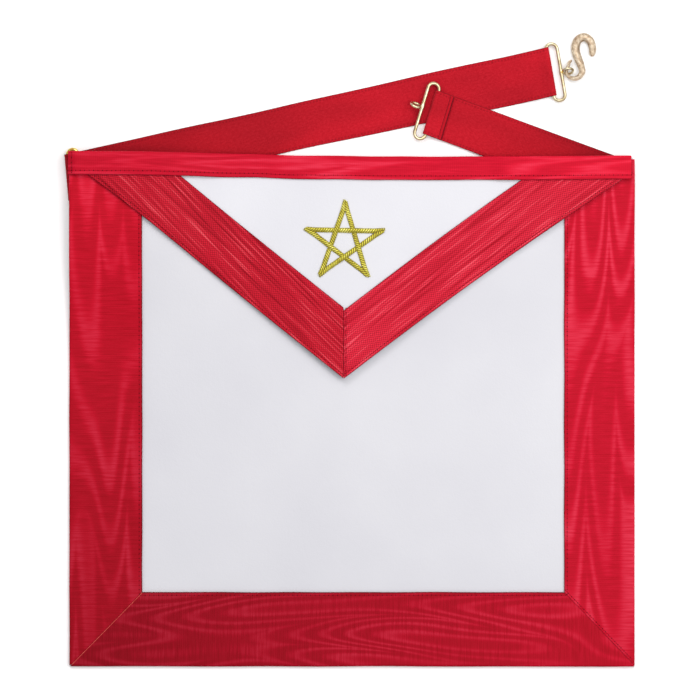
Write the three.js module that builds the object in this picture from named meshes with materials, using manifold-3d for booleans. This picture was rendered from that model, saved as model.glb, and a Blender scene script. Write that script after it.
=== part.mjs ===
// A lodge apron of white leather, lying on its back on a flat surface with its belt folded behind it.
// A watered red ribbon borders three sides, a triangular flap with an embroidered five-pointed star
// hangs from a folded waistband, and two elastic belt ends carry wire loops, an eye and a snake hook.
// Millimetres, +Z up, the waistband towards +Y. The origin is the centre of the base of the whole part.
import * as THREE from "three";
import { mergeVertices } from "three/addons/utils/BufferGeometryUtils.js";
import Module from "manifold-3d";

const wasm = await Module();
wasm.setup();
const { lerp, smoothstep, degToRad } = THREE.MathUtils;

// Cloth, leather and wire.
const leather = 1.2;
const ribbon = 1;
const elastic = 1;
const wire = 2;
const gap = 0.3; // what touching pieces keep between them

// The apron and its border.
const apronWidth = 406;
const apronHeight = 368;
const borderWidth = { left: 51.7, right: 50.7, bottom: 52.7 };

// The waistband, folded over the top edge.
const bandDepth = 17;
const bandTurnUnder = 12; // how far it reaches down the back
const bandOverhang = 1.5; // how far it sticks out past the left edge
const bandLength = apronWidth + bandOverhang;
const bandShift = -bandOverhang / 2;

// The flap. Its tip hangs off centre, and its reaches are measured at the waistband's lower edge.
const flapTuck = 4; // how far the flap goes up inside the waistband
const flapDrop = 161.6;
const flapTipShift = -6.3;
const flapLeftReach = 187.7;
const flapRightReach = 196;
const flapLeftBow = -2.2; // how far its edges bulge, or sink in when under 0
const flapRightBow = -4.1;
const flapBorderWidth = 40;
const flapAir = 0.6; // the loose room under the flap
const flapTipLift = 3.5;

// The star.
const starRadius = 27.6; // to where the centre lines of two bars meet
const starDrop = 63.1; // of its centre below the top edge
const starShift = -5.8;
const starTurn = -1.2;
const starBar = 3.7;
const starHeight = 1.5;
const starTip = 3.2; // how far a bar runs on past its meeting point
const starWeave = 0.5; // how far a bar rises over another

// The belt.
const beltWidth = 33;
const lapLength = 14; // the end that is folded back and sewn down
const longBeltLength = 358.4;
const longBeltAngle = 12.5;
const longBeltStart = { overhang: 3, down: 17 }; // past the apron's left edge
const shortBeltLength = 152.5;
const foldApproach = 4; // the last of its straight run, before the slanting fold
const shortBeltAngle = -20.2;
const shortBeltStart = { inset: 147.8, up: 30.5 }; // from the apron's right edge
const tabLength = 45; // of the short belt's sewn end, behind the apron
const anchorWidth = 30;
const anchorLength = 34;

// The wire loops, the eye that stands on two of them, and the snake hook.
const loopSpread = 8.2; // between the centres of its two legs
const loopLength = 41.3;
const eyeRadius = 3.6;
const eyeWire = 1.5;
const eyeReach = 5; // from the far leg to the eye's centre
const eyeShift = 1.8; // of the eye from the middle of the leg
const hookEyeLean = 58;
const freeEyeLean = 68;
const hookLoopSlip = 0.9; // how far the hook's loop has slipped down in its fold
const curlRadius = 4.9; // of the snake's lower curl, which holds the eye
const curlOffset = 8.6; // from the far leg to the curl's centre
const curlDrop = 2.85; // of the curl's centre, below the middle of the leg
const curlWire = 2.5;
const hookSize = 32.4; // from the curl's centre to the outside of the upper bend
const hookBody = 6.1;
const hookThickness = 3.6;

// Heights that follow from the layers under the apron's back.
const layer = elastic + gap;
const foldRadius = wire / 2 + gap + elastic / 2; // of a strap's middle surface round a wire
const bandBack = gap + ribbon + gap;
const anchorTop = 2 * elastic + gap + gap + 2 * foldRadius + elastic;
const cornerLift = anchorTop + bandBack;
const beltLift = elastic + bandBack;
const foldLift = 2 * elastic + gap + bandBack;
const liftedDepth = 42; // how far below the top edge the belt ends lift the apron
const settleLength = 108; // over which it comes down again

// Shares of the apron's width, with the height of its back above the surface along the top.
const liftRows = [
  { across: 0, lift: cornerLift },
  { across: 0.13, lift: cornerLift },
  { across: 0.36, lift: beltLift },
  { across: 0.58, lift: beltLift },
  { across: 0.7, lift: foldLift },
  { across: 1, lift: foldLift },
];

// Shares of the apron's width, with the rise of the top edge as a share of the waistband's depth.
const waistRows = [
  { across: 0, rise: 0.12 },
  { across: 0.12, rise: 0.1 },
  { across: 0.32, rise: 0 },
  { across: 0.41, rise: -0.07 },
  { across: 0.62, rise: -0.11 },
  { across: 0.8, rise: -0.1 },
  { across: 1, rise: -0.07 },
];

// What lies between the apron's back and the waistband's front, from side to side.
const borderStack = leather + gap + ribbon + gap;
const flapStack = leather + flapAir + leather + gap;
const flapRibbonStack = flapStack + ribbon + gap;
const cornerStack = flapRibbonStack + ribbon + gap;
const bandRows = [
  { across: 0, stack: borderStack },
  { across: 0.012, stack: cornerStack },
  { across: 0.16, stack: cornerStack },
  { across: 0.24, stack: flapRibbonStack },
  { across: 0.28, stack: flapStack },
  { across: 0.74, stack: flapStack },
  { across: 0.78, stack: flapRibbonStack },
  { across: 0.86, stack: cornerStack },
  { across: 1, stack: cornerStack },
];

// The value of a table at a place between its rows, eased from row to row.
function tableAt(rows, key, value, place) {
  let i = 0;
  while (i < rows.length - 2 && place > rows[i + 1][key]) i += 1;
  const share = smoothstep(place, rows[i][key], rows[i + 1][key]);
  return lerp(rows[i][value], rows[i + 1][value], share);
}

// Where a share of the apron's width lies, and the other way round.
const shareOf = (x) => x / apronWidth + 0.5;
const waistline = (x) => bandDepth * tableAt(waistRows, "across", "rise", shareOf(x));

// The height of the apron's back above the surface.
function backHeight(x, y) {
  const settled = smoothstep(-y, liftedDepth, liftedDepth + settleLength);
  return tableAt(liftRows, "across", "lift", shareOf(x)) * (1 - settled);
}

// The height of the leather's front, and of the flap's underside.
const frontHeight = (x, y) => backHeight(x, y) + leather;
function flapHeight(x, y) {
  const inside = apronWidth / 2 - borderWidth.left - Math.abs(x);
  const overBorder = 1 - smoothstep(inside, 0, borderWidth.left);
  const lift = flapTipLift * smoothstep(-y / flapDrop, 0.45, 1);
  return frontHeight(x, y) + flapAir + overBorder * (ribbon + gap) + lift;
}

// The triangles of a flat end, from the ring of points round it and in the ring's own direction.
function flatEnd(ring) {
  const normal = new THREE.Vector3();
  ring.forEach((point, i) => {
    normal.add(new THREE.Vector3().crossVectors(point, ring[(i + 1) % ring.length]));
  });
  const turn = new THREE.Quaternion().setFromUnitVectors(normal.normalize(), new THREE.Vector3(0, 0, 1));
  const flat = ring.map((point) => {
    const { x, y } = point.clone().applyQuaternion(turn);
    return new THREE.Vector2(x, y);
  });
  return THREE.ShapeUtils.triangulateShape(flat, []);
}

// The same for the end of a sheet, where each point has its partner on the other face.
function sheetEnd(ring) {
  const last = ring.length - 1;
  const rungs = ring.slice(0, ring.length / 2 - 1);
  return rungs.flatMap((_, i) => [[i, i + 1, last - i - 1], [i, last - i - 1, last - i]]);
}

// A closed body from rings of points, one ring to each station, with an end on the first and last.
function loft(rings, end = flatEnd) {
  const count = rings[0].length;
  const faces = [];
  for (let k = 0; k + 1 < rings.length; k += 1) {
    for (let i = 0; i < count; i += 1) {
      const a = k * count + i;
      const b = k * count + ((i + 1) % count);
      faces.push([a, b, b + count], [a, b + count, a + count]);
    }
  }
  const lastRing = (rings.length - 1) * count;
  for (const face of end(rings[0])) faces.push([...face].reverse());
  for (const face of end(rings.at(-1))) faces.push(face.map((i) => i + lastRing));
  return facingOut(rings.flat(), faces);
}

// A geometry from points and faces whose windings agree, turned so that it encloses a positive volume.
function facingOut(points, faces) {
  let volume = 0;
  for (const [a, b, c] of faces) {
    volume += points[a].dot(new THREE.Vector3().crossVectors(points[b], points[c]));
  }
  const index = volume > 0 ? faces.flat() : faces.flatMap((face) => [...face].reverse());
  const geometry = new THREE.BufferGeometry().setFromPoints(points);
  geometry.setIndex(index);
  return geometry;
}

// A strip of cloth or leather. `place` turns a station's share and a distance across into a place in
// plan, and `section` gives the ring of [distance across, height over `surface`] at that share.
function strip(shares, place, section, surface, end) {
  const rings = shares.map((share) =>
    section(share).map(([across, up]) => {
      const [x, y] = place(share, across);
      return new THREE.Vector3(x, y, surface(x, y) + up);
    }),
  );
  return loft(rings, end);
}

// Shares from 0 to 1 in equal steps, or closer together towards 0.
const steps = (count, crowd = 1) => Array.from({ length: count + 1 }, (_, i) => (i / count) ** crowd);

// A flat section with its ends square, in equal steps across, from one height to another.
function flatSection(from, to, count, low, high) {
  const marks = steps(count).map((share) => lerp(from, to, share));
  return [...marks.map((a) => [a, low]), ...marks.reverse().map((a) => [a, high])];
}

const toManifold = (geometry) => {
  const bare = geometry.index ? geometry.toNonIndexed() : geometry.clone();
  bare.deleteAttribute("normal");
  bare.deleteAttribute("uv");
  const merged = mergeVertices(bare, 1e-4);
  return new wasm.Manifold(
    new wasm.Mesh({
      numProp: 3,
      vertProperties: merged.attributes.position.array,
      triVerts: new Uint32Array(merged.index.array),
    }),
  );
};

// One geometry from several that overlap.
function fused(geometries) {
  const mesh = geometries.map(toManifold).reduce((a, b) => a.add(b)).getMesh();
  const geometry = new THREE.BufferGeometry();
  geometry.setAttribute("position", new THREE.BufferAttribute(mesh.vertProperties, 3));
  geometry.setIndex(new THREE.BufferAttribute(mesh.triVerts, 1));
  return geometry;
}

const whiteLeather = () => new THREE.MeshStandardMaterial({ color: 0xebeaef, roughness: 0.55 });
const redRibbon = () => new THREE.MeshStandardMaterial({ color: 0xc8142e, roughness: 0.5 });
const redElastic = () => new THREE.MeshStandardMaterial({ color: 0xb8121f, roughness: 0.85 });
const goldThread = () => new THREE.MeshStandardMaterial({ color: 0xb5a32b, roughness: 0.4, metalness: 0.6 });
const gilt = () => new THREE.MeshStandardMaterial({ color: 0xd9c07a, roughness: 0.3, metalness: 1 });

function named(name, geometry, material) {
  const mesh = new THREE.Mesh(geometry, material);
  mesh.name = name;
  return mesh;
}

const halfWidth = apronWidth / 2;
const edge = ribbon + gap; // from the ribbon's outside to the leather's edge
const rowShares = steps(22, 1.4);

function apronPanel() {
  const half = halfWidth - edge;
  const place = (share, x) => {
    const top = waistline(x) - edge;
    return [x, lerp(top, edge - apronHeight, share)];
  };
  const section = () => flatSection(-half, half, 24, 0, leather);
  return named("apron_panel", strip(rowShares, place, section, backHeight, sheetEnd), whiteLeather());
}

// The border ribbon lies on the leather, and its outer edge is turned down over the leather's edge.
function borderSection(width) {
  const low = -gap - leather;
  const inner = steps(3).map((share) => lerp(ribbon, width, share));
  const turn = ribbon / 2;
  return [
    [0, low],
    [ribbon, low],
    ...inner.map((a) => [a, 0]),
    ...inner.reverse().map((a) => [a, ribbon]),
    [turn, ribbon],
    [0, turn],
  ];
}

const borderSurface = (x, y) => frontHeight(x, y) + gap;
const mitreGap = gap / 2;

function sideBorder(name, side, width) {
  const mitre = borderWidth.bottom / width;
  const place = (share, across) => {
    const x = side * (halfWidth - across);
    const top = waistline(x) - bandDepth + flapTuck;
    return [x, lerp(top, across * mitre + mitreGap - apronHeight, share)];
  };
  const section = () => borderSection(width);
  return named(name, strip(rowShares, place, section, borderSurface), redRibbon());
}

function bottomBorder() {
  const width = borderWidth.bottom;
  const reach = halfWidth - mitreGap;
  const place = (share, across) => {
    const left = (across * borderWidth.left) / width - reach;
    const right = reach - (across * borderWidth.right) / width;
    return [lerp(left, right, share), across - apronHeight];
  };
  const section = () => borderSection(width);
  return named("border_bottom", strip(steps(16), place, section, borderSurface), redRibbon());
}

// The two slanting edges of the flap, from the waistband's lower edge to the tip. The higher its
// crowd, the nearer to the waistband an edge has its bow.
const flapSide = {
  left: { side: -1, reach: flapLeftReach, bow: flapLeftBow, crowd: 3 },
  right: { side: 1, reach: flapRightReach, bow: flapRightBow, crowd: 1 },
};

// The place of the flap's edge at a height; above the waistband's lower edge it runs on upwards.
function flapEdge({ side, reach, bow, crowd }, y) {
  const share = (flapDrop + y) / (flapDrop - bandDepth);
  const bulge = share < 1 ? bow * Math.sin(Math.PI * share ** crowd) : 0;
  return lerp(flapTipShift, side * reach, share) + side * bulge;
}

const tuckedTop = flapTuck - bandDepth;

function flapPanel() {
  const tip = 0.6; // the width left at the tip
  const place = (share, across) => {
    const y = lerp(tuckedTop, tip - flapDrop, share);
    const left = flapEdge(flapSide.left, y);
    const right = flapEdge(flapSide.right, y);
    return [lerp(left, right, across), y];
  };
  const section = () => flatSection(0, 1, 22, 0, leather);
  return named("flap_panel", strip(steps(14), place, section, flapHeight, sheetEnd), whiteLeather());
}

// The flap's ribbon follows one slanting edge, cut level inside the waistband and mitred at the tip.
function flapBorder(name, edgeOf) {
  const slope = (flapDrop - bandDepth) / (edgeOf.reach - edgeOf.side * flapTipShift);
  const lean = Math.atan(slope);
  const place = (share, across) => {
    const inwards = across / Math.cos(lean);
    const y = lerp(tuckedTop, inwards - flapDrop, share);
    const x = flapEdge(edgeOf, y - inwards) + edgeOf.side * mitreGap;
    return [x, y];
  };
  const section = () => flatSection(0, flapBorderWidth, 4, 0, ribbon);
  const surface = (x, y) => flapHeight(x, y) + leather + gap;
  return named(name, strip(steps(20), place, section, surface, sheetEnd), redRibbon());
}

function waistband() {
  const place = (share, across) => {
    const x = bandLength * (share - 0.5) + bandShift;
    return [x, waistline(x) - across];
  };
  const round = ribbon / 2;
  const section = (share) => {
    const front = tableAt(bandRows, "across", "stack", share);
    const back = -gap - ribbon;
    return [
      [bandDepth, front],
      [bandDepth, front + ribbon],
      [round, front + ribbon],
      [0, front + round],
      [0, back + round],
      [round, back],
      [bandTurnUnder, back],
      [bandTurnUnder, back + ribbon],
      [ribbon, back + ribbon],
      [ribbon, front],
    ];
  };
  const shares = [...new Set([...steps(30), ...bandRows.map((row) => row.across)])].sort((a, b) => a - b);
  return named("waistband", strip(shares, place, section, backHeight), redRibbon());
}

// One embroidered bar of the star, from one tip to the next but one. It passes under the first bar
// that it meets and over the second, which cut it at the golden shares of its length.
function starBarGeometry(from, to) {
  const line = new THREE.Vector2().subVectors(to, from);
  const length = line.length();
  const way = line.clone().normalize();
  const goldenShare = (Math.sqrt(5) - 1) / 2;
  const shares = [0, 0.04, 0.38, 0.5, 0.56, goldenShare, 0.68, 0.75, 0.96, 1];
  const place = (share, across) => {
    const reach = lerp(-starTip, length + starTip, share);
    return [from.x + way.x * reach - way.y * across, from.y + way.y * reach + way.x * across];
  };
  const section = (share) => {
    const fromEnd = Math.min(share, 1 - share) * (length + 2 * starTip);
    const half = (starBar / 2) * lerp(0.35, 1, smoothstep(fromEnd, 0, starTip));
    const over = starWeave * (1 - smoothstep(Math.abs(share - goldenShare), 0.02, 0.12));
    const high = starHeight + over;
    return [
      [-half, 0],
      [half, 0],
      [half * 0.8, high * 0.7],
      [0, high],
      [-half * 0.8, high * 0.7],
    ];
  };
  const surface = (x, y) => flapHeight(x, y) + leather + gap;
  return strip(shares, place, section, surface);
}

function star() {
  const tips = [0, 1, 2, 3, 4].map((k) => {
    const angle = degToRad(90 + starTurn - 72 * k);
    return new THREE.Vector2(
      starShift + starRadius * Math.cos(angle),
      starRadius * Math.sin(angle) - starDrop,
    );
  });
  const bars = tips.map((tip, k) => starBarGeometry(tip, tips[(k + 2) % 5]));
  return named("star_embroidery", fused(bars), goldThread());
}

// The middle surface of a strap's end round a wire at the origin, in the strap's own plane of
// [along, up]: from under the wire, round its far side, over it, and down onto the layer below.
function wireFold() {
  const last = 145;
  const round = steps(7).map((share) => {
    const angle = degToRad(lerp(-90, last, share));
    return [foldRadius * Math.cos(angle), foldRadius * Math.sin(angle)];
  });
  const [x, z] = round.at(-1);
  const level = layer - foldRadius;
  const slide = (z - level) / Math.tan(degToRad(last - 90));
  const curve = new THREE.QuadraticBezierCurve(
    new THREE.Vector2(x, z),
    new THREE.Vector2(x - slide, level),
    new THREE.Vector2(x - slide - wire, level),
  );
  return [...round, ...curve.getPoints(3).slice(1).map((p) => [p.x, p.y])];
}

// A strap of even thickness along a path of [along, up]. `lay` turns a place along and across the
// strap, with a height, into a point of the strap's group.
function strap(path, width, thickness, lay) {
  const middle = path.map(([s, z]) => new THREE.Vector2(s, z));
  const rings = middle.map((point, i) => {
    const before = middle[Math.max(i - 1, 0)];
    const after = middle[Math.min(i + 1, middle.length - 1)];
    const into = point.clone().sub(before).normalize();
    const out = after.clone().sub(point).normalize();
    const way = into.clone().add(out).normalize();
    const mitre = 1 / Math.max(way.dot(into.length() ? into : out), 0.5);
    const off = new THREE.Vector2(-way.y, way.x).multiplyScalar((mitre * thickness) / 2);
    const high = point.clone().add(off);
    const low = point.clone().sub(off);
    return [[high, 1], [high, -1], [low, -1], [low, 1]].map(([p, side]) =>
      lay(p.x, (side * width) / 2, p.y),
    );
  });
  return loft(rings);
}

// The places of the two wires that the long belt holds, from its folded outer edge.
const wireInset = foldRadius + elastic / 2;
const floorLayer = elastic / 2;
const wireHeight = floorLayer + foldRadius;

// How far each end of the long belt is pulled out of square, and the short belt's free end.
const longBeltSkew = { start: 7.5, end: 2.7 };
const shortBeltSkew = 3.2;

function longBelt() {
  const fold = wireFold();
  const far = longBeltLength - wireInset;
  const start = fold.map(([s, z]) => [wireInset - s, z + wireHeight]).reverse();
  const end = fold.map(([s, z]) => [far + s, z + wireHeight]).reverse();
  const path = [
    [lapLength, floorLayer + layer],
    ...start,
    ...steps(12).map((share) => [lerp(lapLength, far - 2 * lapLength, share), floorLayer]),
    [far - 1.4 * lapLength, floorLayer + layer * 0.4],
    [far - lapLength, floorLayer + layer],
    ...end,
    [far - lapLength, floorLayer],
  ];
  const lay = (s, across, z) => {
    const skew = lerp(longBeltSkew.start, longBeltSkew.end, smoothstep(s, 0, longBeltLength));
    return new THREE.Vector3(s + across * Math.tan(degToRad(skew)), across, z);
  };
  return named("belt_long", strap(path, beltWidth, elastic, lay), redElastic());
}

// The short belt leaves its sewn end behind the apron, turns back on a slanting fold at the apron's
// corner, and climbs over the long belt to the wire loop in its end.
const crossLength = 44; // that lies over the long belt
const dropLength = 30; // over which it comes down to the surface
const cornerLean = degToRad(-shortBeltAngle / 2);

function shortBeltHeight(s) {
  return floorLayer + layer * (1 - smoothstep(s, crossLength, crossLength + dropLength));
}

function shortBelt() {
  const low = floorLayer + layer;
  const fold = wireFold().map(([s, z]) => [wireInset - s, z + low + foldRadius]).reverse();
  const turnRadius = layer / 2;
  const turnLength = Math.PI * turnRadius;
  const unfolded = [
    ...steps(12).map((share) => lerp(lapLength, shortBeltLength - foldApproach, share)),
    ...steps(8).map((share) => shortBeltLength + turnLength * share),
    ...steps(3).slice(1).map((share) => shortBeltLength + turnLength + tabLength * share),
  ];
  const path = [
    [lapLength, low + layer],
    ...fold,
    ...unfolded.map((s) => [s, s < shortBeltLength ? shortBeltHeight(s) : floorLayer]),
  ];
  // The strap is laid out straight and then turned back on itself at the slanting fold.
  const lay = (s, across, z) => {
    const share = smoothstep(s, 0, shortBeltLength - lapLength);
    const straight = lerp(degToRad(shortBeltSkew), cornerLean, share);
    const skew = straight * (1 - smoothstep(s, shortBeltLength + lapLength, shortBeltLength + tabLength));
    const laid = s - across * Math.tan(skew);
    const past = (laid - shortBeltLength) * Math.cos(cornerLean) + across * Math.sin(cornerLean);
    if (past <= 0) return new THREE.Vector3(laid, across, z);
    const turned = Math.min(past / turnRadius, Math.PI);
    const radius = turnRadius - (z - floorLayer);
    const out = radius * Math.sin(turned) - Math.max(past - turnLength, 0);
    return new THREE.Vector3(
      laid + (out - past) * Math.cos(cornerLean),
      across + (out - past) * Math.sin(cornerLean),
      floorLayer + turnRadius - radius * Math.cos(turned),
    );
  };
  return named("belt_short", strap(path, beltWidth, elastic, lay), redElastic());
}

// The tab behind the apron's corner holds the loop's inner leg, its upper layer against the back.
function anchorTab() {
  const fold = wireFold().map(([s, z]) => [-s, -z]);
  const path = [
    [anchorLength, foldRadius],
    ...steps(4).slice(1, -1).map((share) => [lerp(anchorLength, 0, share), foldRadius]),
    ...fold,
    [anchorLength, foldRadius - layer],
  ];
  const lay = (s, across, z) => new THREE.Vector3(s, across, z);
  return named("anchor_tab", strap(path, anchorWidth, elastic, lay), redElastic());
}

// A wire bent to a long loop with round ends: one leg along Y at the origin, the other at +X.
class LoopCurve extends THREE.Curve {
  getPoint(t, target = new THREE.Vector3()) {
    const radius = loopSpread / 2;
    const straight = loopLength - loopSpread;
    const bend = Math.PI * radius;
    const walked = (t % 1) * 2 * (straight + bend);
    const onFirst = walked < straight + bend;
    const w = onFirst ? walked : walked - straight - bend;
    const turn = onFirst ? 1 : -1;
    if (w < straight) return target.set(radius + turn * radius, turn * (w - straight / 2), 0);
    const angle = (w - straight) / radius;
    const x = radius + turn * radius * Math.cos(angle);
    return target.set(x, turn * (straight / 2 + radius * Math.sin(angle)), 0);
  }
}

const loopTube = () => new THREE.TubeGeometry(new LoopCurve(), 36, wire / 2, 8, true);

// The eye is a ring on a short neck near the middle of the loop's outer leg, turned to lean sideways.
function loopWithEye(name, lean) {
  const ring = new THREE.TorusGeometry(eyeRadius, eyeWire / 2, 8, 18);
  ring.rotateX(degToRad(lean)).translate(loopSpread + eyeReach, -eyeShift, 0);
  const neckLength = eyeReach - eyeRadius;
  const neck = new THREE.CylinderGeometry(eyeWire / 2, wire * 0.6, neckLength, 8);
  neck.rotateZ(-Math.PI / 2).translate(loopSpread + neckLength / 2, -eyeShift, 0);
  return named(name, fused([loopTube(), neck, ring]), gilt());
}

// The snake hook's centre line: its lower curl closes in to a round arc about the origin, and the
// shank, the upper bend and the head follow as shares of the hook's size from the curl's centre.
const hookRows = [
  { x: 0.165, y: 0.15, width: 0.86 },
  { x: 0.105, y: 0.3, width: 0.97 },
  { x: 0.055, y: 0.45, width: 1 },
  { x: 0.055, y: 0.59, width: 1 },
  { x: 0.12, y: 0.72, width: 0.98 },
  { x: 0.25, y: 0.772, width: 0.97 },
  { x: 0.37, y: 0.695, width: 0.97 },
  { x: 0.425, y: 0.543, width: 0.9 },
  { x: 0.42, y: 0.41, width: 0.76 },
  { x: 0.403, y: 0.335, width: 0.4 },
];
const curlRows = [
  { angle: 0, reach: 1.3, width: 0.76 },
  { angle: -35, reach: 1.16, width: 0.66 },
  { angle: -70, reach: 1.05, width: 0.57 },
  { angle: -105, reach: 1, width: 0.48 },
  { angle: -135, reach: 1, width: 0.42 },
  { angle: -175, reach: 1, width: 0.41 },
  { angle: -215, reach: 1, width: 0.41 },
];
const curlEnd = [
  { x: -0.085, y: 0.205, width: 0.38 },
  { x: -0.035, y: 0.262, width: 0.3 },
];

function snakeHook() {
  const rows = [
    ...[...hookRows].reverse().map(({ x, y, width }) => ({ x: x * hookSize, y: y * hookSize, width })),
    ...curlRows.map(({ angle, reach, width }) => ({
      x: curlRadius * reach * Math.cos(degToRad(angle)),
      y: curlRadius * reach * Math.sin(degToRad(angle)),
      width,
    })),
    ...curlEnd.map(({ x, y, width }) => ({ x: x * hookSize, y: y * hookSize, width })),
  ];
  const points = rows.map(({ x, y }) => new THREE.Vector3(x, y, 0));
  const curve = new THREE.CatmullRomCurve3(points, false, "centripetal");
  const count = 44;
  const sides = 10;
  const rings = steps(count).map((t) => {
    const at = t * (rows.length - 1);
    const i = Math.min(Math.floor(at), rows.length - 2);
    const width = hookBody * lerp(rows[i].width, rows[i + 1].width, at - i);
    const thin = Math.min(1, curlWire / width);
    const thick = Math.min(width, lerp(curlWire, hookThickness, smoothstep(1 - thin, 0, 0.4)));
    const way = curve.getTangent(t);
    const centre = curve.getPoint(t);
    return steps(sides).slice(0, -1).map((share) => {
      const angle = 2 * Math.PI * share;
      const out = (width / 2) * Math.cos(angle);
      return new THREE.Vector3(
        centre.x - way.y * out,
        centre.y + way.x * out,
        (thick / 2) * Math.sin(angle),
      );
    });
  });
  return named("snake_hook", loft(rings), gilt());
}

// How far a loop tilts for its eye, which leans at `lean`, to stand on a surface at `floor`.
function loopTilt(lean, legHeight, floor) {
  const eyeHeight = floor + eyeRadius * Math.sin(degToRad(lean)) + eyeWire / 2;
  return Math.asin((eyeHeight - legHeight) / (loopSpread + eyeReach));
}

// A group at a place along a belt, turned in plan and then tilted up along its own X.
function seat(x, z, turn, tilt) {
  const group = new THREE.Group();
  group.position.set(x, 0, z);
  group.rotation.set(0, -tilt, turn, "ZYX");
  return group;
}

function longBeltGroup() {
  const group = new THREE.Group();
  group.position.set(-halfWidth - longBeltStart.overhang, -longBeltStart.down, 0);
  group.rotation.z = degToRad(longBeltAngle);
  group.add(longBelt());

  const anchorLeg = 2 * elastic + gap + gap + elastic / 2 + foldRadius;
  const cornerTilt = Math.asin((anchorLeg - wireHeight) / loopSpread);
  const corner = seat(wireInset, wireHeight, -degToRad(longBeltSkew.start), cornerTilt);
  corner.add(named("corner_loop", loopTube(), gilt()));
  const anchor = seat(loopSpread, 0, 0, -cornerTilt);
  anchor.add(anchorTab());
  corner.add(anchor);

  const tilt = loopTilt(hookEyeLean, wireHeight, 0);
  const turn = -degToRad(longBeltSkew.end);
  const hooked = seat(longBeltLength - wireInset, wireHeight, turn, tilt);
  const slipped = new THREE.Group();
  slipped.position.y = -hookLoopSlip;
  slipped.add(loopWithEye("hook_loop", hookEyeLean));
  hooked.add(slipped);

  // The hook's curl runs through the eye, and its head all but rests on the surface.
  const curlHeight = wireHeight + (loopSpread + eyeReach) * Math.sin(tilt);
  const hook = new THREE.Group();
  const curl = new THREE.Vector2(loopSpread + curlOffset, -hookLoopSlip - curlDrop);
  curl.rotateAround(new THREE.Vector2(), turn);
  hook.position.set(longBeltLength - wireInset + curl.x, curl.y, curlHeight);
  hook.rotation.z = -degToRad(longBeltAngle);
  const droop = Math.asin((curlHeight - hookThickness / 2 - gap / 2) / (0.8 * hookSize));
  const laid = snakeHook();
  laid.rotation.x = -droop;
  hook.add(laid);
  group.add(corner, hooked, hook);
  return group;
}

function shortBeltGroup() {
  const group = new THREE.Group();
  group.position.set(halfWidth - shortBeltStart.inset, shortBeltStart.up, 0);
  group.rotation.z = degToRad(shortBeltAngle);
  const legHeight = floorLayer + layer + foldRadius;
  const tilt = loopTilt(freeEyeLean, legHeight, layer);
  const eyed = seat(wireInset, legHeight, Math.PI + degToRad(shortBeltSkew), tilt);
  eyed.add(loopWithEye("eye_loop", freeEyeLean));
  group.add(shortBelt(), eyed);
  return group;
}

const assembly = new THREE.Group();
assembly.add(
  apronPanel(),
  sideBorder("border_left", -1, borderWidth.left),
  sideBorder("border_right", 1, borderWidth.right),
  bottomBorder(),
  flapPanel(),
  flapBorder("flap_border_left", flapSide.left),
  flapBorder("flap_border_right", flapSide.right),
  star(),
  waistband(),
  longBeltGroup(),
  shortBeltGroup(),
);

// The centre of the whole part's base is the origin.
const box = new THREE.Box3().setFromObject(assembly, true);
const centre = box.getCenter(new THREE.Vector3());
assembly.position.set(-centre.x, -centre.y, -box.min.z);

const apron = new THREE.Group();
apron.add(assembly);

export default apron;
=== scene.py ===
import math

import bmesh
import bpy
from mathutils import Matrix, Vector, noise
from mathutils.bvhtree import BVHTree


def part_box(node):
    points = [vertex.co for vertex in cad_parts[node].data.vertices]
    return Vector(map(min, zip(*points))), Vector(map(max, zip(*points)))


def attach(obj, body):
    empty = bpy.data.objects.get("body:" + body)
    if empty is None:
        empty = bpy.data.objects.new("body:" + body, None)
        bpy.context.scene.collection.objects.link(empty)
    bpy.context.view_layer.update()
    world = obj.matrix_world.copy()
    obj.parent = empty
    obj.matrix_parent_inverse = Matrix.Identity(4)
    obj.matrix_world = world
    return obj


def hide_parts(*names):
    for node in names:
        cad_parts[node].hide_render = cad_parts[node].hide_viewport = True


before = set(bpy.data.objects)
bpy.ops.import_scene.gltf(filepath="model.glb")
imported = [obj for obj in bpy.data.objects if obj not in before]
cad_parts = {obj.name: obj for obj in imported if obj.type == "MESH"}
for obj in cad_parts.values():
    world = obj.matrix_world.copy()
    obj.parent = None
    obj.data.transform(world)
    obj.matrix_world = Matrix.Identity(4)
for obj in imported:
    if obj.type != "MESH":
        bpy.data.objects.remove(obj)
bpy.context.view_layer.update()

# The body: one sheet of white lambskin with a very fine grain. It lies on its back on the table, lifted
# along its top by the belt ends that are folded behind it. All the other layers follow its surface.
MM = 0.001
LEATHER = 1.2 * MM
RIBBON = 1.0 * MM
ELASTIC = 1.0 * MM
GAP = 0.3 * MM
HALF_WIDTH = (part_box("border_right")[1][0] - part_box("border_left")[0][0]) / 2
CENTRE_X = (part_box("border_right")[1][0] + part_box("border_left")[0][0]) / 2
HEIGHT = 368 * MM
TOP_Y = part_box("border_bottom")[0][1] + HEIGHT
WIRE = 2 * MM
FOLD_RADIUS = WIRE / 2 + GAP + ELASTIC / 2
LAYER = ELASTIC + GAP
BAND_BACK = GAP + RIBBON + GAP
CORNER_LIFT = 3 * ELASTIC + 2 * GAP + 2 * FOLD_RADIUS + BAND_BACK
BELT_LIFT = ELASTIC + BAND_BACK
FOLD_LIFT = 2 * ELASTIC + GAP + BAND_BACK
# (place from the left edge to the right one, lift of the back)
LIFTS = [
    (0, CORNER_LIFT),
    (0.13, CORNER_LIFT),
    (0.36, BELT_LIFT),
    (0.58, BELT_LIFT),
    (0.7, FOLD_LIFT),
    (1, FOLD_LIFT),
]
LIFTED_DEPTH = 42 * MM
SETTLE_LENGTH = 108 * MM
BAND_DEPTH = 17 * MM
# (place from the left edge to the right one, rise as a share of the band's depth)
RISES = [(0, 0.12), (0.12, 0.1), (0.32, 0), (0.41, -0.07), (0.62, -0.11), (0.8, -0.1), (1, -0.07)]
EDGE = RIBBON + GAP
SOFT_EDGE = 0.25 * MM


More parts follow.
